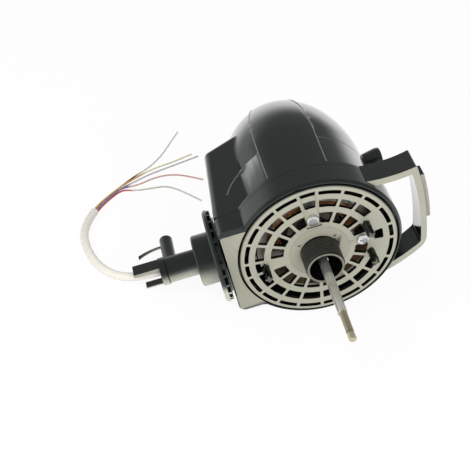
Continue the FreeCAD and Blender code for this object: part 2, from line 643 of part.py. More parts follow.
def make_front_shell():
    """The rim round the cover and the front of the box, whose front edges fall away in a bevel."""
    body = new_body("front_shell")
    block = new_sketch(body, "shell_box", "XZ_Plane", "- box_front - bevel_depth")
    box_outline(block)
    pad(body, block, "shell_seam - box_front - bevel_depth", back=True)
    wide = new_sketch(body, "shell_bevel_wide", "XZ_Plane", "- box_front - bevel_depth")
    box_outline(wide)
    narrow = new_sketch(body, "shell_bevel_narrow", "XZ_Plane", "- box_front")
    box_outline(narrow, "box_bevel", "box_lip", "box_corner - box_bevel")
    bevel = body.newObject("PartDesign::AdditiveLoft", "shell_bevel")
    bevel.Profile = wide
    bevel.Sections = [narrow]
    bevel.Ruled = True
    ring = new_sketch(body, "shell_ring", "XY_Plane")
    polygon(ring, [
        ("cover_radius - shell_wall", "cover_depth + seam_gap"),
        ("cover_radius + groove_width", "cover_depth + seam_gap"),
        ("cover_radius + groove_width", "box_front"),
        ("rim_radius - rim_bevel", "box_front"),
        ("rim_radius", "box_front + bevel_depth"),
        ("rim_radius", "shell_seam"),
        ("rim_radius - shell_wall", "shell_seam"),
        ("rim_radius - shell_wall", "cover_depth + seam_gap + shell_wall"),
        ("cover_radius - shell_wall", "cover_depth + seam_gap + shell_wall"),
    ])
    turn(body, ring)
    groove = new_sketch(body, "shell_groove", "XZ_Plane", "5")
    circle(groove, "cover_radius + groove_width")
    pocket(body, groove, "5 + cover_depth + seam_gap")
    bore = new_sketch(body, "shell_bore", "XZ_Plane", "5")
    circle(bore, "cover_radius - shell_wall")
    pocket(body, bore)
    hollow = new_sketch(body, "shell_hollow", "XZ_Plane", "- shell_seam")
    box_outline(hollow, "shell_wall", "shell_wall", "box_corner - shell_wall")
    pocket(body, hollow, "shell_seam - box_front - shell_wall", back=True)
    wall = new_sketch(body, "shell_groove_wall", "XZ_Plane", "- box_front - 0.5")
    add_wall_arc(wall, "cover_radius + groove_width", "rim_radius", "box_half - 1")
    pad(body, wall, "cover_depth + seam_gap - box_front - 0.5", back=True)
    floor = new_sketch(body, "shell_groove_floor", "XZ_Plane", "- cover_depth - seam_gap")
    add_wall_arc(floor, "cover_radius - shell_wall", "rim_radius", "box_half - 1")
    pad(body, floor, "shell_wall", back=True)
    cut_post_hole(body)
    return body


def add_wall_arc(sketch, inside, outside, half):
    """A piece of a ring on the neck side, ending on two lines at the given half width."""
    limit = worth(half)
    ends = {}
    for name, radius in (("in", worth(inside)), ("out", worth(outside))):
        across = -math.sqrt(radius ** 2 - limit ** 2)
        ends[name] = [Vector(across, -limit, 0), Vector(-radius, 0, 0), Vector(across, limit, 0)]
    sketch.addGeometry(Part.Arc(*ends["in"]))
    sketch.addGeometry(Part.LineSegment(ends["in"][2], ends["out"][2]))
    sketch.addGeometry(Part.Arc(*reversed(ends["out"])))
    sketch.addGeometry(Part.LineSegment(ends["out"][0], ends["in"][0]))


def dome_outline(sketch, inset):
    """Half of the barrel and dome: a straight barrel, then a quarter of an ellipse down to the axis.

    The ellipse's long half lies along the head.
    """
    radius = worth(f"barrel_radius - {inset}")
    start = worth("shell_seam + seam_gap")
    bend = size("dome_start")
    end = worth(f"dome_end - {inset}")
    ellipse = Part.Ellipse(Vector(0, end, 0), Vector(radius, bend, 0), Vector(0, bend, 0))
    sketch.addGeometry(Part.LineSegment(Vector(0, start, 0), Vector(radius, start, 0)))
    sketch.addGeometry(Part.LineSegment(Vector(radius, start, 0), Vector(radius, bend, 0)))
    sketch.addGeometry(Part.ArcOfEllipse(ellipse, 0, math.pi / 2))
    sketch.addGeometry(Part.LineSegment(Vector(0, end, 0), Vector(0, start, 0)))


def side_box_corners(inset="0"):
    """The box behind the seam, seen along Z: its neck face leans in towards the rear."""
    return [
        (f"- neck_face + {inset}", "shell_seam + seam_gap"),
        ("- barrel_radius / 2", "shell_seam + seam_gap"),
        ("- barrel_radius / 2", f"box_back + box_slant - {inset}"),
        (f"- neck_face + box_taper + {inset}", f"box_back - {inset}"),
    ]


def box_long_edge(edge):
    """A test for the straight edges of the box along its neck face and round its rear end."""
    if not straight(edge):
        return False
    middle = edge.CenterOfMass
    neck_side = size("box_taper") + 0.5 - worth("neck_face")
    on_neck_face = middle.x < neck_side and edge.Length > size("box_half")
    at_rear = middle.y > size("box_back") - 0.01
    return on_neck_face or at_rear


def box_foot_edge(edge):
    """A test for the curved and straight edges where the box grows out of the barrel and dome."""
    middle = edge.CenterOfMass
    out = math.hypot(middle.x, middle.z)
    inside_box = middle.x > size("box_taper") + size("box_corner") - worth("neck_face")
    behind_seam = middle.y > worth("shell_seam + seam_gap") + 0.1
    return inside_box and behind_seam and 0.6 * size("barrel_radius") < out < worth("barrel_radius + 0.1")


def make_rear_shell():
    body = new_body("rear_shell")
    outline = new_sketch(body, "dome_outline", "XY_Plane")
    dome_outline(outline, "0")
    turn(body, outline)
    box = new_sketch(body, "rear_box", "XY_Plane")
    polygon(box, side_box_corners())
    block = pad(body, box, "2 * box_half", middle=True)
    rounded = soften(body, block, "box_corner", box_long_edge)
    doc.recompute()
    soften(body, rounded, "box_blend", box_foot_edge)
    doc.recompute()
    flange = new_sketch(body, "shell_flange", "XY_Plane")
    polygon(flange, [
        ("barrel_radius - 1", "shell_seam + seam_gap"),
        ("rim_radius", "shell_seam + seam_gap"),
        ("rim_radius", "flange_back"),
        ("barrel_radius - 1", "flange_back"),
    ])
    turn(body, flange)
    band = new_sketch(body, "dome_band", "YZ_Plane")
    band_outline(band)
    turn(body, band, "H_Axis", sweep="2 * asin(band_half / barrel_radius)", middle=True)
    line = new_sketch(body, "barrel_line", "YZ_Plane")
    polygon(line, [
        ("line_depth - line_width / 2", "line_sink - barrel_radius"),
        ("line_depth + line_width / 2", "line_sink - barrel_radius"),
        ("line_depth + line_width / 2", "- 1 - barrel_radius"),
        ("line_depth - line_width / 2", "- 1 - barrel_radius"),
    ])
    turn(body, line, "H_Axis", cut=True, sweep="360deg - 2 * asin(band_half / barrel_radius)", middle=True)
    hollow = new_sketch(body, "dome_hollow", "XY_Plane")
    dome_outline(hollow, "shell_wall")
    turn(body, hollow, cut=True)
    room = new_sketch(body, "rear_box_hollow", "XY_Plane")
    polygon(room, side_box_corners("shell_wall"))
    pocket(body, room, "2 * ( box_half - shell_wall )", middle=True)
    cut_post_hole(body)
    collar = new_sketch(body, "knob_collar", "YZ_Plane", "barrel_radius - shell_wall - 3")
    circle(collar, "collar_radius", "gear_depth", "- gear_side")
    pad(body, collar, "collar_reach + shell_wall + 3")
    stem_hole = new_sketch(body, "knob_hole", "YZ_Plane", "10")
    circle(stem_hole, "knob_stem_radius + part_gap", "gear_depth", "- gear_side")
    pocket(body, stem_hole, back=True)
    tower = new_sketch(body, "screw_tower", "XZ_Plane", "- case_back - lid_thickness - seam_gap")
    circle(tower, "tower_radius")
    pad(body, tower, "dome_end - shell_wall - case_back - lid_thickness", back=True)
    bore = new_sketch(body, "rear_screw_hole", "XZ_Plane", "- dome_end - 5")
    circle(bore, "rear_screw_shank + seat_gap")
    pocket(body, bore, "dome_end + 5 - case_back", back=True)
    sink = new_sketch(body, "rear_screw_seat", "XZ_Plane", "- dome_end - 5")
    circle(sink, "rear_screw_head + seat_gap")
    pocket(body, sink, "rear_screw_sink + 5", back=True)
    return body


def make_rear_screw():
    seat = worth("dome_end - rear_screw_sink")
    reach = worth(f"{seat} - case_back - part_gap")
    screw = pan_screw(size("rear_screw_head"), size("rear_screw_height"), size("rear_screw_shank"), reach)
    screw.rotate(Vector(0, 0, 0), Vector(0, 0, 1), 180)
    screw.translate(Vector(0, seat, 0))
    return set_shape("rear_screw", [screw])


def band_outline(sketch):
    """The raised band's section: it rises from nothing and follows barrel and dome to the rear end."""
    radius = worth("barrel_radius + band_height")
    start = size("band_start")
    bend = size("dome_start")
    end = worth("dome_end + band_height")
    ellipse = Part.Ellipse(Vector(end, 0, 0), Vector(bend, radius, 0), Vector(bend, 0, 0))
    rise = size("line_depth")
    foot = worth("barrel_radius - band_height / 2")
    sketch.addGeometry(Part.LineSegment(Vector(start, 0, 0), Vector(start, foot, 0)))
    sketch.addGeometry(Part.LineSegment(Vector(start, foot, 0), Vector(rise, radius, 0)))
    sketch.addGeometry(Part.LineSegment(Vector(rise, radius, 0), Vector(bend, radius, 0)))
    sketch.addGeometry(Part.ArcOfEllipse(ellipse, 0, math.pi / 2))
    sketch.addGeometry(Part.LineSegment(Vector(end, 0, 0), Vector(start, 0, 0)))


def handle_line(sketch, arm="0", bar="0"):
    """Half a loop seen from the front: two spreading arms and a bowed bar, both moved in by a thickness."""
    root = worth("handle_root - 4")
    slope = worth("handle_spread / ( handle_reach - handle_bow - handle_root )")
    middle = worth(f"handle_reach - {bar}")
    round_bar = worth(f"bar_round - {bar}")
    centre = middle - round_bar
    start = worth(f"handle_half - {arm}") + slope * worth("handle_reach - handle_bow")
    half = worth(f"handle_half - {arm}")
    for step in range(6):
        end = centre + math.sqrt(round_bar ** 2 - half ** 2)
        half = start - slope * end
    spread = start - slope * root
    corners = [Vector(root, -spread, 0), Vector(end, -half, 0), Vector(end, half, 0),
               Vector(root, spread, 0)]
    sketch.addGeometry(Part.LineSegment(corners[0], corners[1]))
    sketch.addGeometry(Part.Arc(corners[1], Vector(middle, 0, 0), corners[2]))
    sketch.addGeometry(Part.LineSegment(corners[2], corners[3]))
    sketch.addGeometry(Part.LineSegment(corners[3], corners[0]))


def sweep_line(sketch, root, middle, outer, away):
    """A closed area between the handle's swept edge, seen along Z, and a line well outside it."""
    start = size("handle_root")
    end = worth("handle_reach + 1")
    inside = start - 10
    edge = [Vector(start, size(root), 0), Vector((start + end) / 2, size(middle), 0),
            Vector(end, size(outer), 0)]
    sketch.addGeometry(Part.LineSegment(Vector(inside, away, 0), Vector(inside, size(root), 0)))
    sketch.addGeometry(Part.LineSegment(Vector(inside, size(root), 0), edge[0]))
    sketch.addGeometry(Part.Arc(*edge))
    sketch.addGeometry(Part.LineSegment(edge[2], Vector(end, away, 0)))
    sketch.addGeometry(Part.LineSegment(Vector(end, away, 0), Vector(inside, away, 0)))


def handle_corner_edge(side, outside):
    """A test for the upright edge at one of the bar's two ends, on its outer or inner side."""
    def chosen(edge):
        if not straight(edge) or abs(abs(edge.Curve.Direction.y) - 1) > 1e-3:
            return False
        middle = edge.CenterOfMass
        near = worth("handle_reach - handle_bow - handle_bar / 2")
        return middle.z * side > 0 and middle.x > near - 10 and (middle.x > near) == outside
    return chosen


def make_carry_handle():
    body = new_body("carry_handle")
    outer = new_sketch(body, "handle_outer", "XZ_Plane")
    handle_line(outer)
    block = pad(body, outer, "handle_back + 5", back=True)
    upper = soften(body, block, "handle_corner", handle_corner_edge(1, True))
    lower = soften(body, upper, "handle_low_corner", handle_corner_edge(-1, True))
    loop = new_sketch(body, "handle_loop", "XZ_Plane", "5")
    handle_line(loop, "handle_arm", "handle_bar")
    opened = pocket(body, loop)
    soften(body, opened, "handle_inner_corner", lambda edge: handle_corner_edge(1, False)(edge)
           or handle_corner_edge(-1, False)(edge))
    front = new_sketch(body, "handle_front", "XY_Plane")
    sweep_line(front, "handle_front_root", "handle_front_middle", "handle_front_outer", -10)
    pocket(body, front, middle=True)
    rear = new_sketch(body, "handle_rear", "XY_Plane")
    sweep_line(rear, "handle_back_root", "handle_back_middle", "handle_back", worth("handle_back + 20"))
    pocket(body, rear, middle=True)
    seat = new_sketch(body, "handle_seat", "XZ_Plane", "5")
    circle(seat, "rim_radius + seat_gap")
    pocket(body, seat)
    return body


def make_handle_pad():
    """A grip that follows the bowed bar."""
    body = new_body("handle_pad")
    outline = new_sketch(body, "pad_outline", "XZ_Plane", "- handle_front_outer - pad_front")
    inside = worth("bar_round + pad_gap")
    outside = worth("bar_round + pad_thickness")
    centre = worth("handle_reach - bar_round")
    corners = {}
    for name, radius in (("in", inside), ("out", outside)):
        for end in ("pad_low", "pad_high"):
            height = size(end)
            corners[name, end] = Vector(centre + math.sqrt(radius ** 2 - height ** 2), height, 0)
        corners[name, "middle"] = Vector(centre + radius, 0, 0)
    inner = [corners["in", place] for place in ("pad_high", "middle", "pad_low")]
    outer = [corners["out", place] for place in ("pad_low", "middle", "pad_high")]
    outline.addGeometry(Part.Arc(*inner))
    outline.addGeometry(Part.LineSegment(inner[2], outer[0]))
    outline.addGeometry(Part.Arc(*outer))
    outline.addGeometry(Part.LineSegment(outer[2], inner[0]))
    block = pad(body, outline, "pad_width", back=True)
    soften(body, block, "pad_thickness / 3",
           lambda edge: edge.CenterOfMass.x > worth("handle_reach - handle_bow + pad_thickness"))
    return body


# Motor

def bracket_body(label, outer_face, inner_face, hub_face):
    """A cast bracket: a rim that grips the stack, four spokes and a hub, between three depths."""
    body = new_body(label)
    rim = new_sketch(body, label + "_rim", "XY_Plane")
    polygon(rim, [
        ("bracket_radius - bracket_rim", outer_face),
        ("bracket_radius", outer_face),
        ("bracket_radius", inner_face),
        ("bracket_radius - bracket_rim", inner_face),
    ])
    turn(body, rim)
    hub = new_sketch(body, label + "_hub", "XY_Plane")
    polygon(hub, [
        ("bearing_radius", outer_face),
        ("bracket_hub", outer_face),
        ("bracket_hub", hub_face),
        ("bearing_radius", hub_face),
    ])
    spoke = new_sketch(body, label + "_spoke", "XY_Plane")
    sign = "+" if worth(f"{inner_face} - ( {outer_face} )") > 0 else "-"
    polygon(spoke, [
        ("( bearing_radius + bracket_hub ) / 2", outer_face),
        ("bracket_radius - 1", outer_face),
        ("bracket_radius - 1", f"{outer_face} {sign} bracket_web"),
        ("( bearing_radius + bracket_hub ) / 2", f"{outer_face} {sign} bracket_web"),
    ])
    arm = pad(body, spoke, "2 * spoke_half", middle=True)
    repeat_round(body, arm, "4")
    turn(body, hub)
    return body


def cut_screw_holes(body, label):
    """Holes in the front bracket's spokes for the cover screws."""
    holes = new_sketch(body, label, "XZ_Plane", "5")
    circle(holes, "screw_shank", "screw_side_place", "0")
    circle(holes, "screw_shank", "0", "screw_top_place")
    return pocket(body, holes)


def cut_bolt_holes(body, label):
    """Four holes through the rim, on the diagonals."""
    hole = new_sketch(body, label, "XZ_Plane", "50")
    circle(hole, "bolt_radius + seat_gap", "bolt_place * cos(45deg)", "bolt_place * sin(45deg)")
    cut = pocket(body, hole)
    repeat_round(body, cut, "4")


def make_brackets():
    front_hub = "bracket_front + bracket_hub_length"
    front = bracket_body("front_bracket", "bracket_front", "stack_front", front_hub)
    cut_screw_holes(front, "bracket_screw_holes")
    cut_bolt_holes(front, "front_bolt_holes")
    stack_rear = "stack_front + stack_length"
    rear = bracket_body("rear_bracket", "bracket_rear", stack_rear, "bracket_rear - bracket_hub_length")
    cut_bolt_holes(rear, "rear_bolt_holes")


def make_bearings():
    seats = {"front_bearing": "bracket_front", "rear_bearing": "bracket_rear - bracket_hub_length"}
    for label, face in seats.items():
        turned(label, [
            ("shaft_radius + running_gap", f"{face} + 1"),
            ("bearing_radius", f"{face} + 1"),
            ("bearing_radius", f"{face} + bracket_hub_length - 1"),
            ("shaft_radius + running_gap", f"{face} + bracket_hub_length - 1"),
        ])


def make_stator_core():
    body = turned("stator_core", [
        ("rotor_radius + air_gap", "stack_front"),
        ("stator_radius", "stack_front"),
        ("stator_radius", "stack_front + stack_length"),
        ("rotor_radius + air_gap", "stack_front + stack_length"),
    ])
    slot = new_sketch(body, "stator_slot", "XZ_Plane", "- stack_front + 1")
    polygon(slot, [
        ("winding_inside", "- stator_slot_width / 2"),
        ("winding_inside + stator_slot_depth", "- stator_slot_width"),
        ("winding_inside + stator_slot_depth", "stator_slot_width"),
        ("winding_inside", "stator_slot_width / 2"),
    ])
    cut = pocket(body, slot, "stack_length + 2")
    repeat_round(body, cut, "stator_slots")
    return body


def make_windings():
    """Front and rear end turns: a rounded ring each, lying against the stack."""
    rear_face = "stack_front + stack_length"
    for label, face, far in (("front_windings", "stack_front", "stack_front - winding_length"),
                             ("rear_windings", rear_face, f"{rear_face} + winding_length")):
        body = turned(label, [
            ("winding_inside", face),
            ("winding_outside", face),
            ("winding_outside", far),
            ("winding_inside", far),
        ])
        ends = [ring_edge("winding_inside", far), ring_edge("winding_outside", far)]
        soften(body, body.Tip, "winding_round", lambda edge: any(test(edge) for test in ends))


def make_rotor():
    turned("rotor_core", [
        ("shaft_radius + press_gap", "stack_front"),
        ("rotor_radius", "stack_front"),
        ("rotor_radius", "stack_front + stack_length"),
        ("shaft_radius + press_gap", "stack_front + stack_length"),
    ])
    for label, face, far in (("front_end_ring", "stack_front", "stack_front - end_ring_length"),
                             ("rear_end_ring", "stack_front + stack_length",
                              "stack_front + stack_length + end_ring_length")):
        turned(label, [
            ("end_ring_inside", face),
            ("rotor_radius - 1", face),
            ("rotor_radius - 2", far),
            ("end_ring_inside + 1", far),
        ])


def make_shaft():
    body = turned("motor_shaft", [
        ("0", "- shaft_reach"),
        ("shaft_tip_radius - 0.8", "- shaft_reach"),
        ("shaft_tip_radius", "0.8 - shaft_reach"),
        ("shaft_tip_radius", "groove_place - groove_length - shaft_reach"),
        ("shaft_tip_radius - shaft_groove", "groove_place - groove_length - shaft_reach"),
        ("shaft_tip_radius - shaft_groove", "groove_place - shaft_reach"),
        ("shaft_tip_radius", "groove_place - shaft_reach"),
        ("shaft_tip_radius", "- shaft_shoulder - 0.6"),
        ("shaft_radius", "- shaft_shoulder"),
        ("shaft_radius", "bracket_rear + 3"),
        ("shaft_rear_radius", "bracket_rear + 3.6"),
        ("shaft_rear_radius", "gear_depth + worm_length / 2 + 3"),
        ("0", "gear_depth + worm_length / 2 + 3"),
    ])
    flat = new_sketch(body, "shaft_flat", "XY_Plane")
    polygon(flat, [
        ("shaft_radius - shaft_flat", "- shaft_shoulder - 2"),
        ("shaft_radius + 2", "- shaft_shoulder - 2"),
        ("shaft_radius + 2", "- flat_end"),
        ("shaft_radius - shaft_flat", "- flat_end"),
    ])
    pocket(body, flat, middle=True)
    turned("worm", [
        ("shaft_rear_radius + press_gap", "gear_depth - worm_length / 2"),
        ("worm_radius - 0.5", "gear_depth - worm_length / 2"),
        ("worm_radius", "gear_depth - worm_length / 2 + 0.5"),
        ("worm_radius", "gear_depth + worm_length / 2 - 0.5"),
        ("worm_radius - 0.5", "gear_depth + worm_length / 2"),
        ("shaft_rear_radius + press_gap", "gear_depth + worm_length / 2"),
    ])


def hexagon_prism(x, y, z, reach, depth):
    """A hexagonal prism along +Y, its corners at the given reach from its axis."""
    corners = [Vector(x + reach * math.cos(k * math.pi / 3), y, z + reach * math.sin(k * math.pi / 3))
               for k in range(7)]
    return Part.Face(Part.makePolygon(corners)).extrude(Vector(0, depth, 0))


def make_motor_bolts():
    """Four through bolts with hexagon heads in front and nuts behind."""
    bolts = []
    radius = size("bolt_radius")
    front = size("bracket_front")
    rear = size("bracket_rear")
    for turns in range(4):
        angle = math.radians(45 + 90 * turns)
        x = size("bolt_place") * math.cos(angle)
        z = size("bolt_place") * math.sin(angle)
        head = hexagon_prism(x, front - radius, z, 1.8 * radius, radius)
        nut = hexagon_prism(x, rear, z, 1.8 * radius, 1.4 * radius)
        start = Vector(x, front - radius / 2, z)
        shank = Part.makeCylinder(radius, rear - front + 2.5 * radius, start, Vector(0, 1, 0))
        bolts.append(head.fuse([shank, nut]).removeSplitter())
    return set_shape("motor_bolts", bolts)


# Gearbox, with its own axis along X through the wheel spindle

GEAR = {"y": "gear_depth", "z": "- gear_side"}


def case_outline(inset):
    """The gearbox seen from the front."""
    return [
        (f"case_low + {inset}", f"case_side_low + {inset}"),
        (f"case_high - {inset}", f"case_side_low + {inset}"),
        (f"case_high - {inset}", f"case_side_high - {inset}"),
        (f"case_low + {inset}", f"case_side_high - {inset}"),
    ]


def case_screw_spots():
    """Places of the four lid screws, as pairs of expressions."""
    return [(f"{x_end}", f"{z_end}")
            for x_end in ("case_low + lid_screw_inset", "case_high - lid_screw_inset")
            for z_end in ("case_side_low + lid_screw_inset", "case_side_high - lid_screw_inset")]


def make_gearbox():
    body = new_body("gearbox_case")
    outline = new_sketch(body, "case_outline", "XZ_Plane", "- case_front")
    polygon(outline, case_outline("0"))
    pad(body, outline, "case_back - case_front", back=True)
    room = new_sketch(body, "case_room", "XZ_Plane", "- case_back")
    polygon(room, case_outline("case_wall"))
    pocket(body, room, "case_back - case_front - case_wall", back=True)
    for number, (x, z) in enumerate(case_screw_spots()):
        boss = new_sketch(body, f"case_boss_{number}", "XZ_Plane", "- case_front - 1")
        circle(boss, "lid_screw_inset", x, z)
        pad(body, boss, "case_back - case_front - 1", back=True)
    holes = new_sketch(body, "case_screw_holes", "XZ_Plane", "- case_back")
    for x, z in case_screw_spots():
        circle(holes, "lid_screw_shank", x, z)
    pocket(body, holes, "lid_screw_length - lid_thickness + 1", back=True)
    shaft_hole = new_sketch(body, "case_shaft_hole", "XZ_Plane", "- case_front + 1")
    circle(shaft_hole, "shaft_radius + part_gap")
    pocket(body, shaft_hole, "case_wall + 2")
    low_hole = new_sketch(body, "case_spindle_hole", "YZ_Plane", "case_low - 1")
    circle(low_hole, "spindle_radius + running_gap", "gear_depth", "- gear_side")
    pocket(body, low_hole, "case_wall + 2", back=True)
    high_hole = new_sketch(body, "case_stem_hole", "YZ_Plane", "case_high + 1")
    circle(high_hole, "knob_stem_radius + running_gap", "gear_depth", "- gear_side")
    pocket(body, high_hole, "case_wall + 2")

    lid = new_body("gearbox_lid")
    plate = new_sketch(lid, "lid_outline", "XZ_Plane", "- case_back")
    polygon(plate, case_outline("0"))
    pad(lid, plate, "lid_thickness", back=True)
    lid_holes = new_sketch(lid, "lid_holes", "XZ_Plane", "- case_back + 1")
    for x, z in case_screw_spots():
        circle(lid_holes, "lid_screw_shank + seat_gap", x, z)
    circle(lid_holes, "rear_screw_shank")
    pocket(lid, lid_holes)

    screws = []
    head = 0.9 * size("lid_screw_inset")
    for x, z in case_screw_spots():
        screw = pan_screw(head, size("lid_screw_height"), size("lid_screw_shank"), size("lid_screw_length"))
        screw.rotate(Vector(0, 0, 0), Vector(0, 0, 1), 180)
        screw.translate(Vector(worth(x), worth("case_back + lid_thickness"), worth(z)))
        screws.append(screw)
    set_shape("gearbox_screws", screws)


# The knob's stem still reaches through the case wall when the knob is pulled out
STEM_START = "( case_high - case_wall - seat_gap - knob_travel )"


def make_wheel():
    body = new_body("worm_wheel", **GEAR)
    rim = "gear_side - worm_radius - mesh_gap"
    blank = new_sketch(body, "wheel_blank", "XY_Plane")
    polygon(blank, [
        ("- wheel_half", "spindle_radius + press_gap"),
        ("- wheel_half", f"{rim} - wheel_tooth"),
        ("wheel_half", f"{rim} - wheel_tooth"),
        ("wheel_half", "spindle_radius + press_gap"),
    ])
    turn(body, blank, "H_Axis")
    tooth = new_sketch(body, "wheel_tooth", "YZ_Plane", "- wheel_half")
    pitch = f"( {rim} ) * sin(180deg / wheel_teeth)"
    polygon(tooth, [
        (f"{rim} - wheel_tooth - 0.4", f"- 0.65 * {pitch}"),
        (rim, f"- 0.3 * {pitch}"),
        (rim, f"0.3 * {pitch}"),
        (f"{rim} - wheel_tooth - 0.4", f"0.65 * {pitch}"),
    ])
    one = pad(body, tooth, "2 * wheel_half")
    repeat_round(body, one, "wheel_teeth", "X_Axis")

    turned("wheel_spindle", [
        ("crank_place - crank_thickness", "0"),
        ("crank_place - crank_thickness", "spindle_radius"),
        (f"{STEM_START} - part_gap", "spindle_radius"),
        (f"{STEM_START} - part_gap", "0"),
    ], axis="H_Axis", **GEAR)

    crank = new_body("crank", **GEAR)
    disc = new_sketch(crank, "crank_disc", "XY_Plane")
    polygon(disc, [
        ("crank_place - crank_thickness", "spindle_radius + press_gap"),
        ("crank_place - crank_thickness", "crank_disc"),
        ("crank_place", "crank_disc"),
        ("crank_place", "spindle_radius + press_gap"),
    ])
    turn(crank, disc, "H_Axis")
    pin = new_sketch(crank, "crank_pin", "YZ_Plane", "crank_place - crank_thickness + 0.5")
    circle(pin, "crank_pin", "- crank_radius", "0")
    pad(crank, pin, "crank_place - crank_thickness + 0.5 - link_place + link_thickness", back=True)


def make_drive_link():
    """A pressed strip with an eye at each end, stepped so that it clears the motor."""
    body = new_body("drive_link", y="gear_depth - crank_radius", z="- gear_side")
    run = "( gear_depth - crank_radius - neck_depth )"
    side = new_sketch(body, "link_side", "XY_Plane")
    polygon(side, [
        ("link_place", "link_eye"),
        ("link_place", "- 2 * link_eye"),
        ("link_place - link_joggle", "- 3.5 * link_eye"),
        ("link_place - link_joggle", f"- {run} - link_eye"),
        ("link_place - link_joggle - link_thickness", f"- {run} - link_eye"),
        ("link_place - link_joggle - link_thickness", "- 3.5 * link_eye"),
        ("link_place - link_thickness", "- 2 * link_eye"),
        ("link_place - link_thickness", "link_eye"),
    ])
    strip = pad(body, side, "2 * link_eye", middle=True)
    soften(body, strip, "0.9 * link_eye", lambda edge: straight(edge)
           and abs(edge.Length - size("link_thickness")) < 0.01)
    eyes = new_sketch(body, "link_eyes", "YZ_Plane", "5")
    circle(eyes, "crank_pin + running_gap", "0", "0")
    circle(eyes, "crank_pin + running_gap", f"- {run}", "0")
    pocket(body, eyes)
    return body


def make_knob():
    tip = "knob_start + knob_length"
    body = turned("knob", [
        ("knob_start", "0"),
        ("knob_start", "knob_inner"),
        (f"{tip} - 5", "knob_outer"),
        (tip, "knob_outer"),
        (tip, "0"),
    ], axis="H_Axis", **GEAR)
    soften(body, body.Tip, "knob_round", ring_edge("knob_outer", tip, axis=0))
    turned("knob_stem", [
        (STEM_START, "0"),
        (STEM_START, "knob_stem_radius"),
        ("knob_start", "knob_stem_radius"),
        ("knob_start", "0"),
    ], axis="H_Axis", **GEAR)


# Neck, with its own axis along X through the swivel

NECK = {"y": "neck_depth"}
FLANGE_FACE = "- neck_face - post_hole_gap - washer_thickness"
COLLAR_FACE = f"( {FLANGE_FACE} - flange_thickness )"
STEM_FACE = f"( {COLLAR_FACE} - collar_neck_length )"


def make_swivel_post():
    lean = "box_taper * ( neck_depth + ring_radius - shell_seam ) / ( box_back - shell_seam )"
    inner = f"- neck_face + shell_wall + part_gap + {lean}"
    body = turned("swivel_post", [
        (FLANGE_FACE, "swivel_bore"),
        (FLANGE_FACE, "swivel_post"),
        (inner, "swivel_post"),
        (inner, "swivel_post - ring_thickness"),
        (f"{inner} + ring_thickness + press_gap", "swivel_post - ring_thickness"),
        (f"{inner} + ring_thickness + press_gap", "swivel_post"),
        (f"{inner} + ring_thickness + 3", "swivel_post"),
        (f"{inner} + ring_thickness + 5", "rocker_neck"),
        ("rocker_place - 0.5", "rocker_neck"),
        ("rocker_place - 0.5", "swivel_bore"),
    ], axis="H_Axis", **NECK)
    arm = new_sketch(body, "rocker_arm", "YZ_Plane", "rocker_place - 0.5")
    polygon(arm, [
        ("- rocker_neck", "0"),
        ("- crank_pin * 2", "- gear_side - crank_pin * 2"),
        ("crank_pin * 2", "- gear_side - crank_pin * 2"),
        ("rocker_neck", "0"),
        ("rocker_neck * 0.6", "rocker_neck * 0.8"),
        ("- rocker_neck * 0.6", "rocker_neck * 0.8"),
    ])
    pad(body, arm, "rocker_thickness + 0.5")
    pin = new_sketch(body, "rocker_pin", "YZ_Plane", "rocker_place + rocker_thickness - 0.5")
    circle(pin, "crank_pin", "0", "- gear_side")
    pad(body, pin, "rocker_pin_length + 0.5")
    turned("retaining_ring", [
        (f"{inner} + press_gap / 2", "swivel_post - ring_thickness + press_gap"),
        (f"{inner} + press_gap / 2", "ring_radius"),
        (f"{inner} + press_gap / 2 + ring_thickness", "ring_radius"),
        (f"{inner} + press_gap / 2 + ring_thickness", "swivel_post - ring_thickness + press_gap"),
    ], axis="H_Axis", **NECK)


def make_swivel_flange():
    turned("swivel_washer", [
        (FLANGE_FACE, "swivel_post + seat_gap"),
        (FLANGE_FACE, "washer_radius"),
        (f"{FLANGE_FACE} + washer_thickness", "washer_radius"),
        (f"{FLANGE_FACE} + washer_thickness", "swivel_post + seat_gap"),
    ], axis="H_Axis", **NECK)
    body = turned("swivel_flange", [
        (COLLAR_FACE, "swivel_bore"),
        (COLLAR_FACE, "flange_radius - 1.5"),
        (f"{COLLAR_FACE} + 1.5", "flange_radius"),
        (FLANGE_FACE, "flange_radius"),
        (FLANGE_FACE, "swivel_bore"),
    ], axis="H_Axis", **NECK)
    rib = new_sketch(body, "flange_rib", "YZ_Plane", f"{FLANGE_FACE} - 0.5")
    polygon(rib, [
        ("washer_radius + seat_gap", "- flange_rib_half"),
        ("flange_radius - 1", "- flange_rib_half"),
        ("flange_radius - 1", "flange_rib_half"),
        ("washer_radius + seat_gap", "flange_rib_half"),
    ])
    one = pad(body, rib, "flange_rib_height + 0.5")
    repeat_round(body, one, "flange_ribs", "X_Axis")


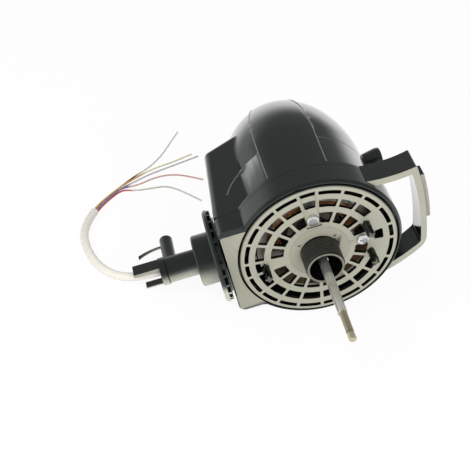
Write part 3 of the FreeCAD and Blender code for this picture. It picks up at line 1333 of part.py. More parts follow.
def make_neck_stem():
    collar = turned("neck_collar", [
        (STEM_FACE, "stem_bore"),
        (STEM_FACE, "collar_neck_radius - 1.2"),
        (f"{STEM_FACE} + 1.2", "collar_neck_radius"),
        (COLLAR_FACE, "collar_neck_radius"),
        (COLLAR_FACE, "stem_bore"),
    ], axis="H_Axis", **NECK)
    key = new_sketch(collar, "collar_key", "XY_Plane")
    polygon(key, [
        (STEM_FACE, "collar_neck_radius - 2"),
        (COLLAR_FACE, "collar_neck_radius - 2"),
        (COLLAR_FACE, "collar_neck_radius + collar_key_height"),
        (STEM_FACE, "collar_neck_radius + collar_key_height"),
    ])
    pad(collar, key, "2 * collar_key_half", middle=True)

    end = f"( {STEM_FACE} - stem_length )"
    stem = turned("neck_stem", [
        (STEM_FACE, "0"),
        (STEM_FACE, "stem_radius"),
        (f"{end} + stem_lip_length + 1", "stem_radius"),
        (f"{end} + stem_lip_length", "stem_lip_radius"),
        (end, "stem_lip_radius"),
        (end, "stem_bore"),
        (f"{STEM_FACE} - stem_floor", "stem_bore"),
        (f"{STEM_FACE} - stem_floor", "0"),
    ], axis="H_Axis", **NECK)
    tongue = new_sketch(stem, "stem_tongue", "XZ_Plane")
    polygon(tongue, [
        (f"{end} - tongue_length", "tongue_place"),
        (f"{end} + 3", "tongue_place"),
        (f"{end} + 3", "tongue_place + tongue_thickness"),
        (f"{end} - tongue_length", "tongue_place + tongue_thickness"),
    ])
    pad(stem, tongue, "2 * tongue_half", middle=True)
    lip = new_sketch(stem, "stem_lip", "XZ_Plane")
    polygon(lip, [
        (f"{end} - lip_length", "- stem_lip_radius + 1"),
        (f"{end} + 3", "- stem_lip_radius + 1"),
        (f"{end} + 3", "- stem_lip_radius + 1 + lip_thickness"),
        (f"{end} - lip_length", "- stem_lip_radius + 1 + lip_thickness"),
    ])
    pad(stem, lip, "2 * lip_half", middle=True)

    peg = new_sketch(stem, "stem_peg", "XZ_Plane")
    circle(peg, "peg_radius", f"{STEM_FACE} - peg_place", "0")
    column = pad(stem, peg, "peg_reach", back=True)
    soften(stem, column, "peg_round", peg_end_edge)
    hook = new_sketch(stem, "stem_hook", "XY_Plane")
    hook_outline(hook)
    pad(stem, hook, "2 * hook_half", middle=True)
    bore = new_sketch(stem, "stem_bore_again", "YZ_Plane", f"{STEM_FACE} - stem_floor")
    circle(bore, "stem_bore")
    pocket(stem, bore, "stem_length")


def hook_outline(sketch):
    """The snap hook seen along Z: a thin strip that bends down to a small barb at its end."""
    start = worth(f"{STEM_FACE} - peg_place")
    end = worth(f"{STEM_FACE} - peg_place - peg_radius - hook_length")
    top = size("hook_place")
    drop = size("hook_drop")
    down = Vector(0, -size("hook_thickness"), 0)
    upper = [Vector(start, top, 0), Vector((start + end) / 2, top - drop / 7, 0), Vector(end, top - drop, 0)]
    barb = [upper[2] + down + Vector(0, -size("hook_barb"), 0), upper[2] + down + Vector(2, 0, 0)]
    sketch.addGeometry(Part.Arc(*upper))
    sketch.addGeometry(Part.LineSegment(upper[2], barb[0]))
    sketch.addGeometry(Part.LineSegment(barb[0], barb[1]))
    sketch.addGeometry(Part.Arc(barb[1], upper[1] + down, upper[0] + down))
    sketch.addGeometry(Part.LineSegment(upper[0] + down, upper[0]))


def peg_end_edge(edge):
    """A test for the rim of the peg's free end."""
    return abs(edge.CenterOfMass.y - size("peg_reach")) < 0.01


# Cable: routes chosen by hand in the lying head's frame, from the stem's bore to the floor

SHEATH_ROUTE = [
    (-91.42, 28.0, -40.3), (-117.12, 28.0, -51.63), (-143.93, 31.5, -62.1), (-162.89, 47.95, -64.5),
    (-171.4, 75.32, -64.5), (-169.9, 100.23, -64.5), (-159.28, 120.18, -64.5),
]
CORE_ROUTES = {
    "core_grey_long": [
        (-160.88, 121.08, -65.6), (-156.52, 129.19, -65.6), (-146.61, 143.97, -67.2),
        (-133.93, 158.63, -67.2), (-117.82, 177.44, -67.2), (-101.75, 192.77, -67.2),
        (-87.78, 212.21, -67.2), (-75.8, 234.87, -67.2), (-65.43, 254.65, -67.2),
    ],
    "core_yellow": [
        (-160.08, 120.63, -64.0), (-155.72, 128.74, -64.0), (-145.91, 143.37, -65.7),
        (-133.23, 158.13, -65.7), (-116.51, 175.72, -67.2), (-100.94, 189.23, -67.2),
        (-85.75, 198.64, -67.2), (-69.7, 208.93, -67.2), (-56.98, 218.24, -67.2),
    ],
    "core_grey": [
        (-159.28, 120.18, -65.6), (-154.92, 128.29, -65.6), (-145.21, 142.87, -67.2),
        (-132.63, 157.53, -67.2), (-117.72, 169.77, -67.2), (-102.26, 182.46, -67.2),
        (-86.66, 192.29, -67.2), (-68.48, 204.1, -67.2), (-50.97, 215.4, -67.2),
    ],
    "core_red": [
        (-158.48, 119.73, -64.0), (-154.12, 127.84, -64.0), (-144.51, 142.37, -65.7),
        (-132.03, 156.93, -65.7), (-115.6, 164.61, -67.2), (-100.13, 176.4, -67.2),
        (-85.04, 182.99, -67.2), (-68.79, 183.46, -67.2), (-51.89, 177.76, -67.2),
    ],
    "core_pale": [
        (-157.68, 119.28, -65.6), (-153.32, 127.39, -65.6), (-143.81, 141.77, -67.2),
        (-131.33, 156.43, -67.2), (-119.33, 156.21, -67.2), (-105.09, 160.13, -67.2),
        (-90.41, 165.28, -67.2), (-77.02, 160.56, -67.2), (-59.12, 145.38, -67.2),
    ],
}
ARC_SHARE = 0.45


def cord_path(route):
    """Straight runs joined by tangent arcs, each as large as its two runs allow; and the arcs' radii."""
    points = [Vector(*spot) for spot in route]
    edges = []
    radii = []
    start = points[0]
    for before, corner, after in zip(points, points[1:], points[2:]):
        into = (corner - before)
        out = (after - corner)
        reach = ARC_SHARE * min(into.Length, out.Length)
        into.normalize()
        out.normalize()
        half_turn = into.getAngle(out) / 2
        radius = reach / math.tan(half_turn)
        radii.append(radius)
        first = corner - into * reach
        last = corner + out * reach
        inward = (out - into).normalize()
        middle = corner + inward * (radius / math.cos(half_turn) - radius)
        edges.append(Part.LineSegment(start, first).toShape())
        edges.append(Part.Arc(first, middle, last).toShape())
        start = last
    edges.append(Part.LineSegment(start, points[-1]).toShape())
    return Part.Wire(edges), radii


def make_cord(label, route, radius):
    """A round tube along the route, in the ground's frame, so it isn't turned with the head."""
    path, radii = cord_path(route)
    away = Vector(*route[1]) - Vector(*route[0])
    ring = Part.Wire(Part.makeCircle(radius, Vector(*route[0]), away))
    solid = path.makePipeShell([ring], True, False)
    cord = doc.addObject("Part::Feature", label)
    cord.Label = label
    cord.Shape = solid
    NODES.append(cord)
    share = solid.Volume / (math.pi * radius ** 2 * path.Length)
    tightest = min(radii) / (2 * radius)
    print(f"{label}: length {path.Length:.1f}, tightest bend {tightest:.1f} d, volume share {share:.4f}")
    print("  radii", " ".join(f"{bend:.1f}" for bend in radii))


make_front_cover()
make_threaded_boss()
make_cover_screws()
make_front_shell()
make_rear_shell()
make_rear_screw()
make_carry_handle()
make_handle_pad()
make_brackets()
make_bearings()
make_stator_core()
make_windings()
make_rotor()
make_shaft()
make_motor_bolts()
make_gearbox()
make_wheel()
make_drive_link()
make_knob()
make_swivel_post()
make_swivel_flange()
make_neck_stem()
make_cord("cable_sheath", SHEATH_ROUTE, size("sheath_radius"))
for core, core_route in CORE_ROUTES.items():
    make_cord(core, core_route, size("core_radius"))


def check_and_export():
    """Stop on any failed object or bad shape, and write each piece to its own file."""
    doc.recompute()
    for item in doc.Objects:
        if "Invalid" in item.State or "Error" in item.State:
            raise RuntimeError(f"{item.Label} failed: {item.State}")
    for node in NODES:
        shape = node.Shape
        if shape.isNull() or not shape.isValid():
            raise RuntimeError(f"{node.Label} has a bad shape")
    for node in NODES:
        node.Shape.exportStep(f"parts/{node.Label}.step")
        print(node.Label, len(node.Shape.Solids), f"{node.Shape.Volume / 1000:.2f} cm3")


check_and_export()
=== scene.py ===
# The looks of a fan motor head that lies on its side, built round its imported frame.
import json
import math

import bmesh
import bpy
import numpy as np
from bpy.props import FloatProperty, FloatVectorProperty, IntProperty, PointerProperty
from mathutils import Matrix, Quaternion, Vector
from mathutils.bvhtree import BVHTree


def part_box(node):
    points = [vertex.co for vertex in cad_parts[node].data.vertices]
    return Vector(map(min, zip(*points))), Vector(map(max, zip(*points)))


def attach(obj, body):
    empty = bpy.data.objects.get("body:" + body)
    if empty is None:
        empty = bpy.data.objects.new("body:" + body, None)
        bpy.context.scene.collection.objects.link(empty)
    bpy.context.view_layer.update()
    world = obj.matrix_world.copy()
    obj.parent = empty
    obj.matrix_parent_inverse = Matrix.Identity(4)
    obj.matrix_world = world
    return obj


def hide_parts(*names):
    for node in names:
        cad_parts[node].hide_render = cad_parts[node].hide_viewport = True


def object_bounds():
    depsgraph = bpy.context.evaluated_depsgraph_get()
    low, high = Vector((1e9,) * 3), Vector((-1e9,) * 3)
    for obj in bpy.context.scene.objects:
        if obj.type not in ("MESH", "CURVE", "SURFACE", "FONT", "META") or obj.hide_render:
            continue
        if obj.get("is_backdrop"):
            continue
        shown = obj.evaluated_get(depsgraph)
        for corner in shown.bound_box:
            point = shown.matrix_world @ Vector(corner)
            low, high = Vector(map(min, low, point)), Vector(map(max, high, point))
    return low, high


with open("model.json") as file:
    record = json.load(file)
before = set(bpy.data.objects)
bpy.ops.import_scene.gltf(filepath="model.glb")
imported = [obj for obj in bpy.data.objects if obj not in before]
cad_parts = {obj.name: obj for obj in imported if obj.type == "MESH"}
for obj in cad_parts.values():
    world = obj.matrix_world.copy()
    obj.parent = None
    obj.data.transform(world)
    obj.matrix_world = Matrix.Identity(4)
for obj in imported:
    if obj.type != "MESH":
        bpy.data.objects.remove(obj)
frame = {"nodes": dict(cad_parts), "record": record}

bl_info = {
    "name": "Fan motor head",
    "version": (1, 0, 0),
    "blender": (4, 5, 0),
    "location": "3D View > Sidebar > Motor head",
    "description": "Finishes a fan motor head: casing, cover, boss, shaft, windings, neck and cable",
    "category": "Object",
}

RECORD = frame["record"]
NODES = frame["nodes"]
BODY_OF = {node: body for body, nodes in RECORD["behaviour"]["bodies"].items() for node in nodes}
MM = 0.001


def linear(code):
    """An sRGB hex colour as the linear red, green and blue that the shaders take."""
    shares = [int(code[start:start + 2], 16) / 255 for start in (1, 3, 5)]
    return tuple(share / 12.92 if share <= 0.04045 else ((share + 0.055) / 1.055) ** 2.4 for share in shares)


def colour(name, code, description):
    """A colour that the user may change."""
    return FloatVectorProperty(name=name, description=description, subtype="COLOR", size=3, min=0, max=1,
                               default=linear(code))


def length(name, millimetres, description):
    """A length that the user may change."""
    return FloatProperty(name=name, description=description, default=millimetres * MM, min=0, unit="LENGTH",
                         precision=5)


class HeadColours(bpy.types.PropertyGroup):
    """Colours of the finishes, and the greys painted on faces as painted reflections."""

    casing: colour("Casing", "#0A0C0B", "Gloss black of the casing and the neck")
    # Painted reflection: the grey painted on the gloss black casing's forward faces.
    casing_front_reflection: colour("Front faces", "#A3A192", "Satin grey of the casing's front faces")
    # Painted reflection: the grey painted on the gloss black cover's and boss's forward faces.
    cover: colour("Cover", "#ABA999", "Satin grey of the slotted cover")
    # Painted reflection: the grey painted on the black handle's forward faces.
    handle_front_reflection: colour("Handle front", "#AFAD9D", "Satin grey of the handle's front faces")
    # Painted reflection: the grey painted on the black neck's lower faces.
    neck_underside_reflection: colour("Neck underside", "#C8C6B8", "Satin grey of the neck's lower faces")
    # Painted reflection: the grey painted on the black grip pad's forward faces.
    grip: colour("Grip", "#A8A497", "Grey of the grip pad's front")
    sheath: colour("Sheath", "#EAE7DD", "Cream of the cable sheath")
    copper: colour("Copper", "#F59C62", "Enamelled winding wire")
    casting: colour("Casting", "#C6C5B9", "Die-cast brackets")
    tip: colour("Shaft tip", "#A89F88", "Shaft end under its dull film")


class HeadSizes(bpy.types.PropertyGroup):
    """Sizes of what is finer than the frame."""

    thread_pitch: length("Thread pitch", 1.6, "Distance between the boss's thread ridges")
    thread_depth: length("Thread depth", 0.8, "Depth of the boss's thread")
    edge: length("Edge rounding", 0.35, "Rounding of the moulded edges")
    wire: length("Winding wire", 0.7, "Thickness of the winding wire")
    wires: IntProperty(name="Wires", description="Wires round one end winding", default=56, min=12, max=90)
    core: length("Core thickness", 1.5, "Thickness of a cable core")
    sheath: length("Sheath thickness", 7.0, "Thickness of the cable sheath")


# Frame of the lying head

SWING = next(joint for joint in RECORD["behaviour"]["joints"] if joint["name"] == "head_swing")
ACROSS = np.array(SWING["axis"], float)
UPWARD = np.array([-ACROSS[2], 0.0, ACROSS[0]])


def lay(spots):
    """Points in the upright head's own axes, in metres, turned as the head lies on the floor."""
    return spots[..., :1] * ACROSS + spots[..., 1:2] * np.array([0.0, 1.0, 0.0]) + spots[..., 2:] * UPWARD


def stand(spots):
    """Points of the lying head, turned back into the upright head's own axes."""
    return np.stack([spots @ ACROSS, spots[..., 1], spots @ UPWARD], -1)


# Mesh tools

def new_object(name, data):
    """A new object in the scene."""
    made = bpy.data.objects.new(name, data)
    bpy.context.scene.collection.objects.link(made)
    return made


def stand_for(piece, node):
    """Puts a piece in a node's place and on its body."""
    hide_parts(node)
    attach(piece, BODY_OF[node])


def place_piece(name, mesh, material, node):
    """Puts a finished mesh in the scene in a node's place."""
    mesh.materials.clear()
    mesh.materials.append(material)
    stand_for(new_object(name, mesh), node)


def quad_mesh(name, spots, quads):
    """A smooth mesh of quads that all face outwards."""
    mesh = bpy.data.meshes.new(name)
    mesh.from_pydata(spots.reshape(-1, 3).tolist(), [], quads.reshape(-1, 4).tolist())
    mesh.shade_smooth()
    tool = bmesh.new()
    tool.from_mesh(mesh)
    bmesh.ops.recalc_face_normals(tool, faces=tool.faces)
    tool.to_mesh(mesh)
    tool.free()
    return mesh


def grid_mesh(name, spots):
    """Quads between the points of a grid, whose rows each close on themselves."""
    rows, columns = spots.shape[:2]
    index = np.arange(rows * columns).reshape(rows, columns)
    index = np.hstack([index, index[:, :1]])
    quads = np.stack([index[:-1, :-1], index[:-1, 1:], index[1:, 1:], index[1:, :-1]], -1)
    return quad_mesh(name, spots, quads)


def store(mesh, name, domain, values):
    """Stores a number on every corner or point of a mesh."""
    mesh.attributes.new(name, "FLOAT", domain).data.foreach_set("value", values.ravel().astype(np.float32))


def smooth_step(values, low, high):
    """0 below low, 1 above high, and an even S curve between."""
    share = np.clip((values - low) / (high - low), 0, 1)
    return share * share * (3 - 2 * share)


# Ways that faces lean to get the painted reflection: ahead, and ahead and down.
AHEAD = (0.0, -1.0, 0.0)
AHEAD_AND_DOWN = (0.0, -0.8, -0.6)
MERGED_WITHIN = 0.002 * MM
FLAT_WITHIN = math.radians(0.4)
SHARP_FROM = math.radians(32)
ROUNDED_FROM = math.radians(38)


def mark_painted_reflection(mesh, low, high, way=AHEAD, reach=None):
    """Stores on every corner the share of painted reflection: an S curve of the normal's lean to a way, from
    0 at low to 1 at high.

    Where a reach is given, it turns the faces' middles, in the upright head's axes, into a further factor.
    """
    normals = np.empty(len(mesh.loops) * 3, np.float32)
    mesh.corner_normals.foreach_get("vector", normals)
    ahead = smooth_step(normals.reshape(-1, 3) @ np.array(way, np.float32), low, high)
    if reach:
        middles = np.empty(len(mesh.polygons) * 3)
        mesh.polygons.foreach_get("center", middles)
        counts = np.empty(len(mesh.polygons), np.int32)
        mesh.polygons.foreach_get("loop_total", counts)
        ahead = ahead * np.repeat(reach(stand(middles.reshape(-1, 3))), counts)
    store(mesh, "front", "CORNER", ahead)


def rounded_mesh(mesh, name, rounding):
    """A mesh whose sharp edges are rounded."""
    carrier = new_object(name + "_shaping", mesh)
    bevel = carrier.modifiers.new("rounding", "BEVEL")
    bevel.width = rounding
    bevel.segments = 2
    bevel.limit_method = "ANGLE"
    bevel.angle_limit = ROUNDED_FROM
    bevel.harden_normals = True
    bevel.use_clamp_overlap = True
    depsgraph = bpy.context.evaluated_depsgraph_get()
    shaped = bpy.data.meshes.new_from_object(carrier.evaluated_get(depsgraph))
    bpy.data.objects.remove(carrier)
    return shaped


def dressed_mesh(node, name, rounding, front=None, shaping=None):
    """A node's surface with its points merged, flat faces joined and sharp edges rounded.

    front gives mark_painted_reflection its low, high, way and reach, and shaping changes the surface before it is rounded.
    """
    mesh = NODES[node].data.copy()
    tool = bmesh.new()
    tool.from_mesh(mesh)
    bmesh.ops.remove_doubles(tool, verts=tool.verts, dist=MERGED_WITHIN)
    bmesh.ops.dissolve_degenerate(tool, edges=tool.edges, dist=MERGED_WITHIN)
    bmesh.ops.dissolve_limit(tool, angle_limit=FLAT_WITHIN, verts=tool.verts, edges=tool.edges)
    if shaping:
        shaping(tool)
    tool.to_mesh(mesh)
    tool.free()
    mesh.shade_smooth()
    mesh.set_sharp_from_angle(angle=SHARP_FROM)
    if rounding:
        mesh = rounded_mesh(mesh, name, rounding)
    mesh.name = name
    if front:
        mark_painted_reflection(mesh, *front)
    return mesh


def dress(node, name, material, rounding=0.0, front=None, shaping=None):
    """A node's own form with finished edges, standing for the node."""
    place_piece(name, dressed_mesh(node, name, rounding, front, shaping), material, node)


def paint(material, *nodes):
    """A node that keeps its own mesh gets its finish."""
    for node in nodes:
        piece = NODES[node]
        if not piece.data.materials:
            piece.data.materials.append(material)
        for holder in piece.material_slots:
            holder.material = material


# Finishes

def add_node(material, kind, inputs=(), **settings):
    """Adds a node, sets its properties, and sets or links its sockets from numbers or other sockets."""
    made = material.node_tree.nodes.new(kind)
    for name, value in settings.items():
        setattr(made, name, value)
    for socket, value in dict(inputs).items():
        if isinstance(value, bpy.types.NodeSocket):
            material.node_tree.links.new(value, made.inputs[socket])
        else:
            made.inputs[socket].default_value = value
    return made


def rgba(shade):
    """A colour with its alpha, which is always full."""
    return (*shade, 1.0)


def blend(material, share, first, second):
    """A colour between two others, each of them linear red, green and blue, or a socket."""
    ends = [end if isinstance(end, bpy.types.NodeSocket) else rgba(end) for end in (first, second)]
    share_socket, first_socket, second_socket, result = 0, 6, 7, 2
    made = add_node(material, "ShaderNodeMix", {share_socket: share, first_socket: ends[0],
                                                second_socket: ends[1]}, data_type="RGBA")
    return made.outputs[result]


def ramp(material, value, start, end, first=0.0, last=1.0, curve="LINEAR"):
    """A number that goes from first to last while a value goes from start to end."""
    made = add_node(material, "ShaderNodeMapRange",
                    {"Value": value, "From Min": start, "From Max": end, "To Min": first, "To Max": last},
                    interpolation_type=curve)
    return made.outputs["Result"]


def calculate(material, operation, first, second):
    """The result of an operation on two numbers or sockets."""
    made = add_node(material, "ShaderNodeMath", {0: first, 1: second}, operation=operation)
    return made.outputs["Value"]


def bumped(material, height, strength, depth_mm):
    """Normals that follow a height."""
    made = add_node(material, "ShaderNodeBump", {"Height": height, "Strength": strength,
                                                 "Distance": depth_mm * MM})
    return made.outputs["Normal"]


def new_finish(name, constants):
    """A material with its Principled shader's own sockets set."""
    material = bpy.data.materials.new(name)
    material.use_nodes = True
    shader = material.node_tree.nodes["Principled BSDF"]
    for socket, value in constants.items():
        shader.inputs[socket].default_value = value
    return material, shader


def join(material, shader, sockets):
    """Links outputs to the shader's sockets."""
    for name, output in sockets.items():
        material.node_tree.links.new(output, shader.inputs[name])


def noise(material, feature_mm, detail=2.0, stretch=(1, 1, 1)):
    """Noise on the piece's own place, with features of a real size in millimetres."""
    place = add_node(material, "ShaderNodeTexCoord")
    mapping = add_node(material, "ShaderNodeMapping", {"Vector": place.outputs["Object"], "Scale": stretch})
    made = add_node(material, "ShaderNodeTexNoise",
                    {"Vector": mapping.outputs["Vector"], "Scale": 1000 / feature_mm, "Detail": detail})
    return made.outputs["Fac"]


def place_along(material, axis):
    """The piece's own place along one axis, in metres."""
    place = add_node(material, "ShaderNodeTexCoord").outputs["Object"]
    return add_node(material, "ShaderNodeSeparateXYZ", {"Vector": place}).outputs[axis]


def times(factor, shade):
    """A colour made darker or brighter, and never brighter than white."""
    return [min(1.0, factor * channel) for channel in shade]


SATIN_ROUGHNESS = 0.42
SHEEN_SPAN = 0.24


def moulded_black(name, front, gloss=0.13, wet_from=0.54, reflection=0.5):
    """Injection-moulded ABS from a polished tool.

    It is near black, with a wet gloss that grows strong from wet_from on where it is seen edge on, and with a
    faint waviness in its reflections. On the faces that the front attribute marks, a warm grey is painted
    into
    its colour: a painted reflection of the white floor. There it is rougher and has no wet gloss.
    """
    material, shader = new_finish(name, {"IOR": 1.6, "Specular Tint": (0.86, 1.0, 0.92, 1.0),
                                         "Specular IOR Level": reflection, "Coat IOR": 4.0,
                                         "Coat Roughness": 0.14})
    share = add_node(material, "ShaderNodeAttribute", attribute_name="front").outputs["Fac"]
    edge_on = add_node(material, "ShaderNodeLayerWeight", {"Blend": 0.5}).outputs["Facing"]
    sheen = ramp(material, edge_on, wet_from, wet_from + SHEEN_SPAN, curve="SMOOTHSTEP")
    satin = calculate(material, "SUBTRACT", 1.0, share)
    mottled = blend(material, noise(material, 18.0, 3.0), times(0.94, front), times(1.06, front))
    waves = noise(material, 24.0, 1.0)
    grain = noise(material, 0.9)
    mixed = add_node(material, "ShaderNodeMix", {0: share, 2: waves, 3: grain}, data_type="FLOAT")
    join(material, shader, {
        # Painted reflection: the front share turns the black into the painted grey.
        "Base Color": blend(material, share, colours().casing, mottled),
        "Roughness": ramp(material, share, 0.0, 1.0, gloss, SATIN_ROUGHNESS),
        "Coat Weight": calculate(material, "MULTIPLY", sheen, satin),
        "Normal": bumped(material, mixed.outputs[0], 0.12, 0.06),
    })
    return material


def bare_metal(name, shade, roughness, mark_mm, strength=0.15, metallic=1.0):
    """A worked metal: its colour, and fine marks of a real spacing left by the tool."""
    material, shader = new_finish(name, {"Metallic": metallic})
    marks = noise(material, mark_mm, 3.0)
    join(material, shader, {
        "Base Color": blend(material, noise(material, 6.0), times(0.88, shade), shade),
        "Roughness": ramp(material, marks, 0.0, 1.0, 0.7 * roughness, 1.3 * roughness),
        "Normal": bumped(material, marks, strength, 0.03),
    })
    return material


def ground_shaft_steel(bright, dull, shoulder, tip_groove):
    """Centreless-ground steel: mirror bright with fine rings, and a dull oily film on the thin end.

    The film begins at the shoulder. Ahead of the groove near the tip the colour is painted paler: a painted
    highlight.
    """
    material, shader = new_finish("ground_shaft_steel", {"Metallic": 0.85, "Anisotropic": 0.9,
                                                         "Anisotropic Rotation": 0.25})
    around = add_node(material, "ShaderNodeTangent", direction_type="RADIAL", axis="Y")
    along = place_along(material, "Y")
    thin = ramp(material, along, shoulder + 1.0 * MM, shoulder - 1.0 * MM)
    last = ramp(material, along, tip_groove, tip_groove - 0.5 * MM)
    film = blend(material, thin, bright, dull)
    rings = noise(material, 0.5, 2.0, (0.05, 1.0, 0.05))
    join(material, shader, {
        # Painted highlight: the tip ahead of the groove is painted paler.
        "Base Color": blend(material, last, film, times(1.5, dull)),
        "Roughness": ramp(material, thin, 0.0, 1.0, 0.13, 0.22),
        "Tangent": around.outputs["Tangent"],
        "Normal": bumped(material, rings, 0.03, 0.01),
    })
    return material


def enamelled_copper(shade):
    """Copper wire under clear enamel: each wire has its own tone, from orange to burnt brown."""
    material, shader = new_finish("enamelled_copper", {"Metallic": 0.4, "Roughness": 0.32,
                                                       "Coat Weight": 0.6, "Coat Roughness": 0.2})
    tone = add_node(material, "ShaderNodeAttribute", attribute_name="tone").outputs["Fac"]
    share = calculate(material, "MULTIPLY", tone, noise(material, 9.0, 3.0))
    burnt = [fade * channel for fade, channel in zip((0.5, 0.36, 0.3), shade)]
    join(material, shader, {"Base Color": blend(material, share, burnt, times(1.7, shade))})
    return material


def extruded_vinyl(name, near, far, turning_point, fade_mm, axis):
    """Soft PVC insulation, slightly waxy. Past a point on an axis it fades from its near to its far shade."""
    material, shader = new_finish(name, {"Roughness": 0.42, "IOR": 1.52, "Subsurface Weight": 0.12,
                                         "Subsurface Scale": 1.0 * MM, "Sheen Weight": 0.1})
    along = place_along(material, axis)
    paler = ramp(material, along, turning_point, turning_point + fade_mm * MM, curve="SMOOTHSTEP")
    cloud = noise(material, 7.0, 3.0)
    join(material, shader, {
        "Base Color": blend(material, paler, near, far),
        "Roughness": ramp(material, cloud, 0.0, 1.0, 0.36, 0.5),
        "Normal": bumped(material, cloud, 0.1, 0.1),
    })
    return material


LAMINATION_BANDS = 100.0


def stacked_laminations(name, shade):
    """Punched electrical steel sheets, stacked and varnished: a dark line every 3 mm or so."""
    material, shader = new_finish(name, {"Metallic": 0.8, "Roughness": 0.45})
    place = add_node(material, "ShaderNodeTexCoord").outputs["Object"]
    sheets = add_node(material, "ShaderNodeTexWave", {"Vector": place, "Scale": LAMINATION_BANDS,
                                                      "Distortion": 0.4}, bands_direction="Y").outputs["Fac"]
    join(material, shader, {"Base Color": blend(material, sheets, times(0.5, shade), shade),
                            "Normal": bumped(material, sheets, 0.4, 0.1)})
    return material


def moulded_acetal(name, shade):
    """Natural acetal: milky, slightly translucent and faintly speckled."""
    material, shader = new_finish(name, {"Roughness": 0.38, "IOR": 1.48, "Subsurface Weight": 0.2,
                                         "Subsurface Scale": 1.5 * MM})
    cloud = noise(material, 5.0, 3.0)
    join(material, shader, {"Base Color": blend(material, cloud, times(0.9, shade), shade)})
    return material


def sizes():
    """The sizes that the user may change."""
    return bpy.context.scene.motor_head_sizes


def colours():
    """The colours that the user may change."""
    return bpy.context.scene.motor_head_colours


# Pieces, one operator each

class StageOperator(bpy.types.Operator):
    """Sets the floor, the soft lamps, the white surroundings and the camera."""

    bl_idname = "motor_head.stage"
    bl_label = "Stage"

    def execute(self, context):
        set_camera()
        set_floor()
        set_lamps()
        set_surroundings()
        return {"FINISHED"}


VIEW_PLACE = (-0.28235, -0.58589, 0.49669)
VIEW_BACK = (-0.26727, -0.7433, 0.61318)
VIEW_ROLL = 14.26
VIEW_LENS = 79.58


def set_camera():
    """The view that was fitted to the cover, the shaft and the neck."""
    lens = bpy.data.cameras.new("view")
    lens.lens = VIEW_LENS
    lens.sensor_width = 36
    lens.clip_start = 0.05
    camera = new_object("view", lens)
    camera.rotation_mode = "QUATERNION"
    facing = Vector(VIEW_BACK).to_track_quat("Z", "Y")
    camera.rotation_quaternion = facing @ Quaternion((0, 0, 1), math.radians(VIEW_ROLL))
    camera.location = VIEW_PLACE
    bpy.context.scene.camera = camera


def seen_directly(material):
    """1 for rays that come from the camera, a gloss or glass, and 0 for the rest."""
    path = add_node(material, "ShaderNodeLightPath")
    seen = path.outputs["Is Camera Ray"]
    for other in ("Is Glossy Ray", "Is Transmission Ray"):
        seen = calculate(material, "MAXIMUM", seen, path.outputs[other])
    return seen


FLOOR_HALF = 4.0
FLOOR_GLOW = 0.93


def set_floor():
    """A wide pale floor that looks white and keeps a soft shadow."""
    level = float(min(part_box(node)[0].z for node in NODES))
    spots = [(x, y, level) for x, y in ((-1, -1), (1, -1), (1, 1), (-1, 1))]
    mesh = bpy.data.meshes.new("floor")
    mesh.from_pydata([(FLOOR_HALF * x, FLOOR_HALF * y, z) for x, y, z in spots], [], [(0, 1, 2, 3)])
    floor = new_object("floor", mesh)
    paper = bpy.data.materials.new("white_paper")
    paper.use_nodes = True
    paper.node_tree.nodes.clear()
    matt = add_node(paper, "ShaderNodeBsdfDiffuse", {"Color": rgba(linear("#FDFDFC"))})
    white = add_node(paper, "ShaderNodeEmission", {"Color": (1, 1, 1, 1), "Strength": 1.0})
    share = calculate(paper, "MULTIPLY", seen_directly(paper), FLOOR_GLOW)
    mixed = add_node(paper, "ShaderNodeMixShader", {0: share, 1: matt.outputs["BSDF"],
                                                    2: white.outputs["Emission"]})
    add_node(paper, "ShaderNodeOutputMaterial", {"Surface": mixed.outputs["Shader"]})
    mesh.materials.append(paper)
    floor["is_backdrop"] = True


def add_softbox(name, place, target, size, power):
    """A round lamp that faces its target and doesn't show in reflections."""
    lamp = bpy.data.lights.new(name, "AREA")
    lamp.shape = "DISK"
    lamp.size = size
    lamp.energy = power
    holder = new_object(name, lamp)
    holder.location = place
    holder.rotation_euler = (Vector(target) - Vector(place)).to_track_quat("-Z", "Y").to_euler()
    holder.visible_glossy = False


def set_lamps():
    """Two weak lamps, high on the left and in front."""
    add_softbox("softbox_left", place=(-0.9, -0.5, 1.1), target=(0, 0.03, 0), size=0.9, power=9.0)
    add_softbox("softbox_front", place=(0.25, -1.3, 0.75), target=(0, 0, 0), size=0.8, power=8.0)


SOFT_LIGHT = 0.55
OVERHEAD_LIGHT = 0.42


def set_surroundings():
    """White surroundings: dimmer overhead in reflections, and soft as a light on the rest."""
    world = bpy.data.worlds.new("white_surroundings")
    world.use_nodes = True
    world.node_tree.nodes.clear()
    soft = add_node(world, "ShaderNodeBackground", {"Color": (1, 1, 1, 1), "Strength": SOFT_LIGHT})
    aim = add_node(world, "ShaderNodeTexCoord").outputs["Generated"]
    height = add_node(world, "ShaderNodeSeparateXYZ", {"Vector": aim}).outputs["Z"]
    overhead = ramp(world, height, 0.05, 0.4, 1.0, OVERHEAD_LIGHT, "SMOOTHSTEP")
    direct = add_node(world, "ShaderNodeLightPath").outputs["Is Camera Ray"]
    level = calculate(world, "MAXIMUM", overhead, direct)
    white = add_node(world, "ShaderNodeBackground", {"Color": (1, 1, 1, 1), "Strength": level})
    mixed = add_node(world, "ShaderNodeMixShader", {0: seen_directly(world), 1: soft.outputs["Background"],
                                                    2: white.outputs["Background"]})
    add_node(world, "ShaderNodeOutputWorld", {"Surface": mixed.outputs["Shader"]})
    bpy.context.scene.world = world
    bpy.context.scene.view_settings.view_transform = "Standard"


# The route of the sheath and of each core on the floor, in metres

